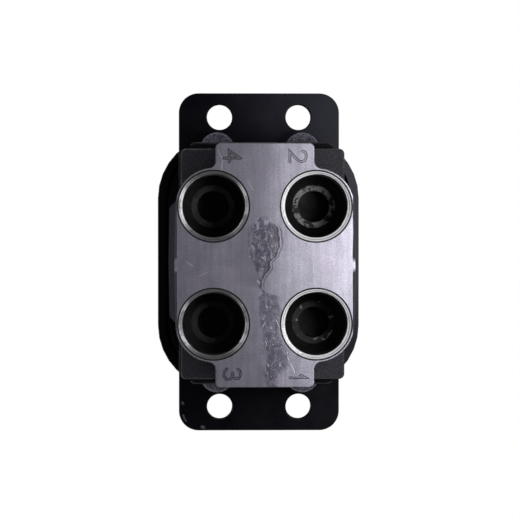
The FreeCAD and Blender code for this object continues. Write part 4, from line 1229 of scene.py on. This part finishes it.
def lever_radius(settings, height, turn):
    """Radius of the lever above the collar: nut thread, relief groove, stud thread and end chamfer."""
    if height < settings.relief_bottom - RUN_OUT:
        fade = clamped((height - settings.thread_start) / settings.nut_pitch)
        tooth = thread_tooth(height / settings.nut_pitch - turn) * fade
        return settings.nut_thread_radius - settings.nut_pitch * THREAD_DEPTH * tooth
    if height < settings.relief_bottom + settings.relief_width + NEAR:
        return settings.relief_radius
    tooth = thread_tooth(height / settings.stud_pitch - turn)
    crest = settings.stud_radius - settings.stud_pitch * THREAD_DEPTH * tooth
    return min(crest, settings.stud_radius - settings.stud_chamfer + LEVER_TOP.z - height)


class VALVE_OT_lever(bpy.types.Operator):
    """Build the lever with its threads, and round the handle nut and the collar"""

    bl_idname = "valve.lever"
    bl_label = "Lever"

    def execute(self, context):
        settings = context.scene.valve_lever
        shape = node_shape("lever_yoke")
        whole = list(shape.verts) + list(shape.edges) + list(shape.faces)
        bmesh.ops.bisect_plane(shape, geom=whole, plane_co=(0, 0, settings.thread_start), plane_no=(0, 0, 1),
                               clear_outer=True)
        heights = [settings.thread_start]
        while heights[-1] < LEVER_TOP.z - RUN_OUT:
            heights.append(heights[-1] + settings.nut_pitch / 6)
        heights[-1] = LEVER_TOP.z
        rows = []
        for height in heights:
            def radius_at(turn, height=height):
                return lever_radius(settings, height, turn)
            rows.append(circle_row(Matrix(), radius_at, height, TURN_POINTS))
        for share, sink in ((0.5, 0.0), (0.12, 0.6 * MM)):
            rows.append([Vector((point.x * share, point.y * share, point.z - sink)) for point in rows[-1]])
        rings, _ = skin(shape, rows)
        shape.faces.new(rings[-1])
        add_rigid(shape, "lever_threaded", "lever_yoke", "lever", even=False)
        for node, name in (("handle_nut", "handle_nut_plated"), ("boot_collar", "boot_collar_moulded")):
            shape = node_shape(node)
            round_edges(shape, settings.nut_round, None, 2)
            add_rigid(shape, name, node, "lever")
        finish_node("swash_plate")
        finish_node("swash_lock_nut")
        return {"FINISHED"}


# Hidden works

INNER_NODES = ("plunger_bushings", "bushing_o_rings", "rod_seals", "joint_base", "centre_block", "long_pin",
               "short_pins")
NUMBERED_NODES = ("plunger", "spring_seat", "spool")
SPRING_FEET = {"return_spring": 0.0, "balance_spring": 0.4025}


def add_spring(kind, number):
    """A coil spring's wire with the finish of its slot, in place of its solid node.
    """
    node = f"{kind}_{number}"
    mesh = node_mesh(node)
    mesh.materials.clear()
    mesh.materials.append(valve_material(NODE_SLOTS[node]))
    item = add_object(f"{node}_wire", mesh)
    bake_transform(item)
    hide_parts(node)


class VALVE_OT_works(bpy.types.Operator):
    """Finish the joint, plungers, bushings, seals, springs and spools inside the valve"""

    bl_idname = "valve.works"
    bl_label = "Inner works"

    def execute(self, context):
        numbers = (1, 2, 3, 4)
        for node in (*INNER_NODES, *(f"{kind}_{number}" for kind in NUMBERED_NODES for number in numbers)):
            finish_node(node)
        for kind in SPRING_FEET:
            for number in numbers:
                add_spring(kind, number)
        return {"FINISHED"}


# Stage

# Place, target and width of each lamp
LAMPS = {
    "key": ((0.10, -0.010, -0.15), (0.01, 0.0, 0.0), 0.07),
    "top": ((0.55, -0.75, 0.95), (0.0, 0.0, 0.08), 2.0),
    "fill": ((-0.85, 0.55, 0.75), (0.0, 0.0, 0.08), 1.8),
}
SENSOR_WIDTH = 36.0
NEAREST, FARTHEST = 0.05, 50.0
FLOOR_HALF, FLOOR_DROP = 12.0, 0.5 * MM


def add_lamp(name, where, target, width, energy):
    """A round soft lamp that shines at a target and that the camera doesn't see."""
    lamp = bpy.data.lights.new(name, "AREA")
    lamp.shape = "DISK"
    lamp.size = width
    lamp.energy = energy
    item = add_object(name, lamp)
    turn = (Vector(target) - Vector(where)).to_track_quat("-Z", "Y")
    item.matrix_world = Matrix.Translation(where) @ turn.to_matrix().to_4x4()
    item.visible_camera = False


def floor_material(shade):
    """A pale floor that only a camera above it sees, and that runs out into the white backdrop."""
    look = Finish("pale_floor")
    base = look.varied(look.noise(look.place, 9.0, 4.0), shade, 0.985, 1.015)
    matt = look.result("ShaderNodeBsdfDiffuse", 0, {"Color": base, "Roughness": 0.4})
    clear = look.result("ShaderNodeBsdfTransparent", 0)
    above = 1.0 - look.result("ShaderNodeNewGeometry", "Backfacing")
    seen = look.result("ShaderNodeLightPath", "Is Camera Ray") * above
    seen = seen * look.vector("LENGTH", look.place).fade(0.35, 1.1)
    mixed = look.result("ShaderNodeMixShader", 0, {0: seen, 1: clear, 2: matt})
    look.add("ShaderNodeOutputMaterial", {"Surface": mixed})
    return look.material


def studio_world():
    """White for the camera; white but dim straight below for reflections; plain grey as a light."""
    world = bpy.data.worlds.new("studio")
    nodes = Nodes(cleared_tree(world))
    camera, glossy, through = (nodes.result("ShaderNodeLightPath", output)
                               for output in ("Is Camera Ray", "Is Glossy Ray", "Is Transmission Ray"))
    z = nodes.split(nodes.result("ShaderNodeTexCoord", "Generated"))[2]
    backdrop = nodes.mix(z.step(-0.85, -0.10), (0.05, 0.051, 0.062, 1), WHITE)
    tone = nodes.mix(glossy.or_more(through), (0.58, 0.585, 0.63, 1), backdrop)
    tone = nodes.mix(camera, tone, WHITE)
    light = nodes.result("ShaderNodeBackground", 0, {"Color": tone, "Strength": 1.0})
    nodes.add("ShaderNodeOutputWorld", {"Surface": light})
    return world


class VALVE_OT_stage(bpy.types.Operator):
    """Set up the camera, the lamps and the floor"""

    bl_idname = "valve.stage"
    bl_label = "Stage"

    def execute(self, context):
        scene = context.scene
        settings = scene.valve_stage
        camera = bpy.data.cameras.new("camera")
        camera.lens = settings.lens
        camera.sensor_width = SENSOR_WIDTH
        camera.clip_start, camera.clip_end = NEAREST, FARTHEST
        where, target = Vector(settings.camera_place), Vector(settings.camera_target)
        forward = (target - where).normalized()
        right = Vector((0, 1, 0)).cross(forward).normalized()
        up = forward.cross(right) * -1
        turn = Matrix((right, up, -forward)).transposed()
        scene.camera = add_object("camera", camera)
        scene.camera.matrix_world = Matrix.Translation(where) @ turn.to_4x4()
        shape = bmesh.new()
        bmesh.ops.create_grid(shape, x_segments=2, y_segments=2, size=FLOOR_HALF)
        floor = add_object("floor", shape_to_mesh(shape, "floor", [floor_material(settings.floor_colour)]))
        floor.location.z = -FLOOR_DROP
        for name, lamp in LAMPS.items():
            add_lamp(name, *lamp, getattr(settings, f"{name}_power"))
        scene.world = studio_world()
        scene.view_settings.view_transform = "Standard"
        return {"FINISHED"}


# Sidebar and registration

PIECES = (VALVE_OT_casting, VALVE_OT_plates, VALVE_OT_boot, VALVE_OT_lever, VALVE_OT_works, VALVE_OT_stage)
SETTINGS = {"valve_casting": CastingSettings, "valve_plate": PlateSettings, "valve_boot": BootSettings,
            "valve_lever": LeverSettings, "valve_stage": StageSettings}


class VALVE_PT_pieces(bpy.types.Panel):
    """Lists the valve's pieces and their settings"""

    bl_label = "Pilot control valve"
    bl_idname = "VALVE_PT_pieces"
    bl_space_type = "VIEW_3D"
    bl_region_type = "UI"
    bl_category = "Valve"

    def draw(self, context):
        for operator in PIECES:
            self.layout.operator(operator.bl_idname)
        for name, group in SETTINGS.items():
            box = self.layout.box()
            box.label(text=group.__doc__)
            for key in group.__annotations__:
                box.prop(getattr(context.scene, name), key)


CLASSES = (*SETTINGS.values(), *PIECES, VALVE_PT_pieces)


def register():
    for item in CLASSES:
        bpy.utils.register_class(item)
    for name, group in SETTINGS.items():
        setattr(bpy.types.Scene, name, PointerProperty(type=group))


def unregister():
    for name in SETTINGS:
        delattr(bpy.types.Scene, name)
    for item in reversed(CLASSES):
        bpy.utils.unregister_class(item)


def main():
    register()
    for operator in PIECES:
        group, name = operator.bl_idname.split(".")
        getattr(getattr(bpy.ops, group), name)()


if __name__ == "__main__":
    main()
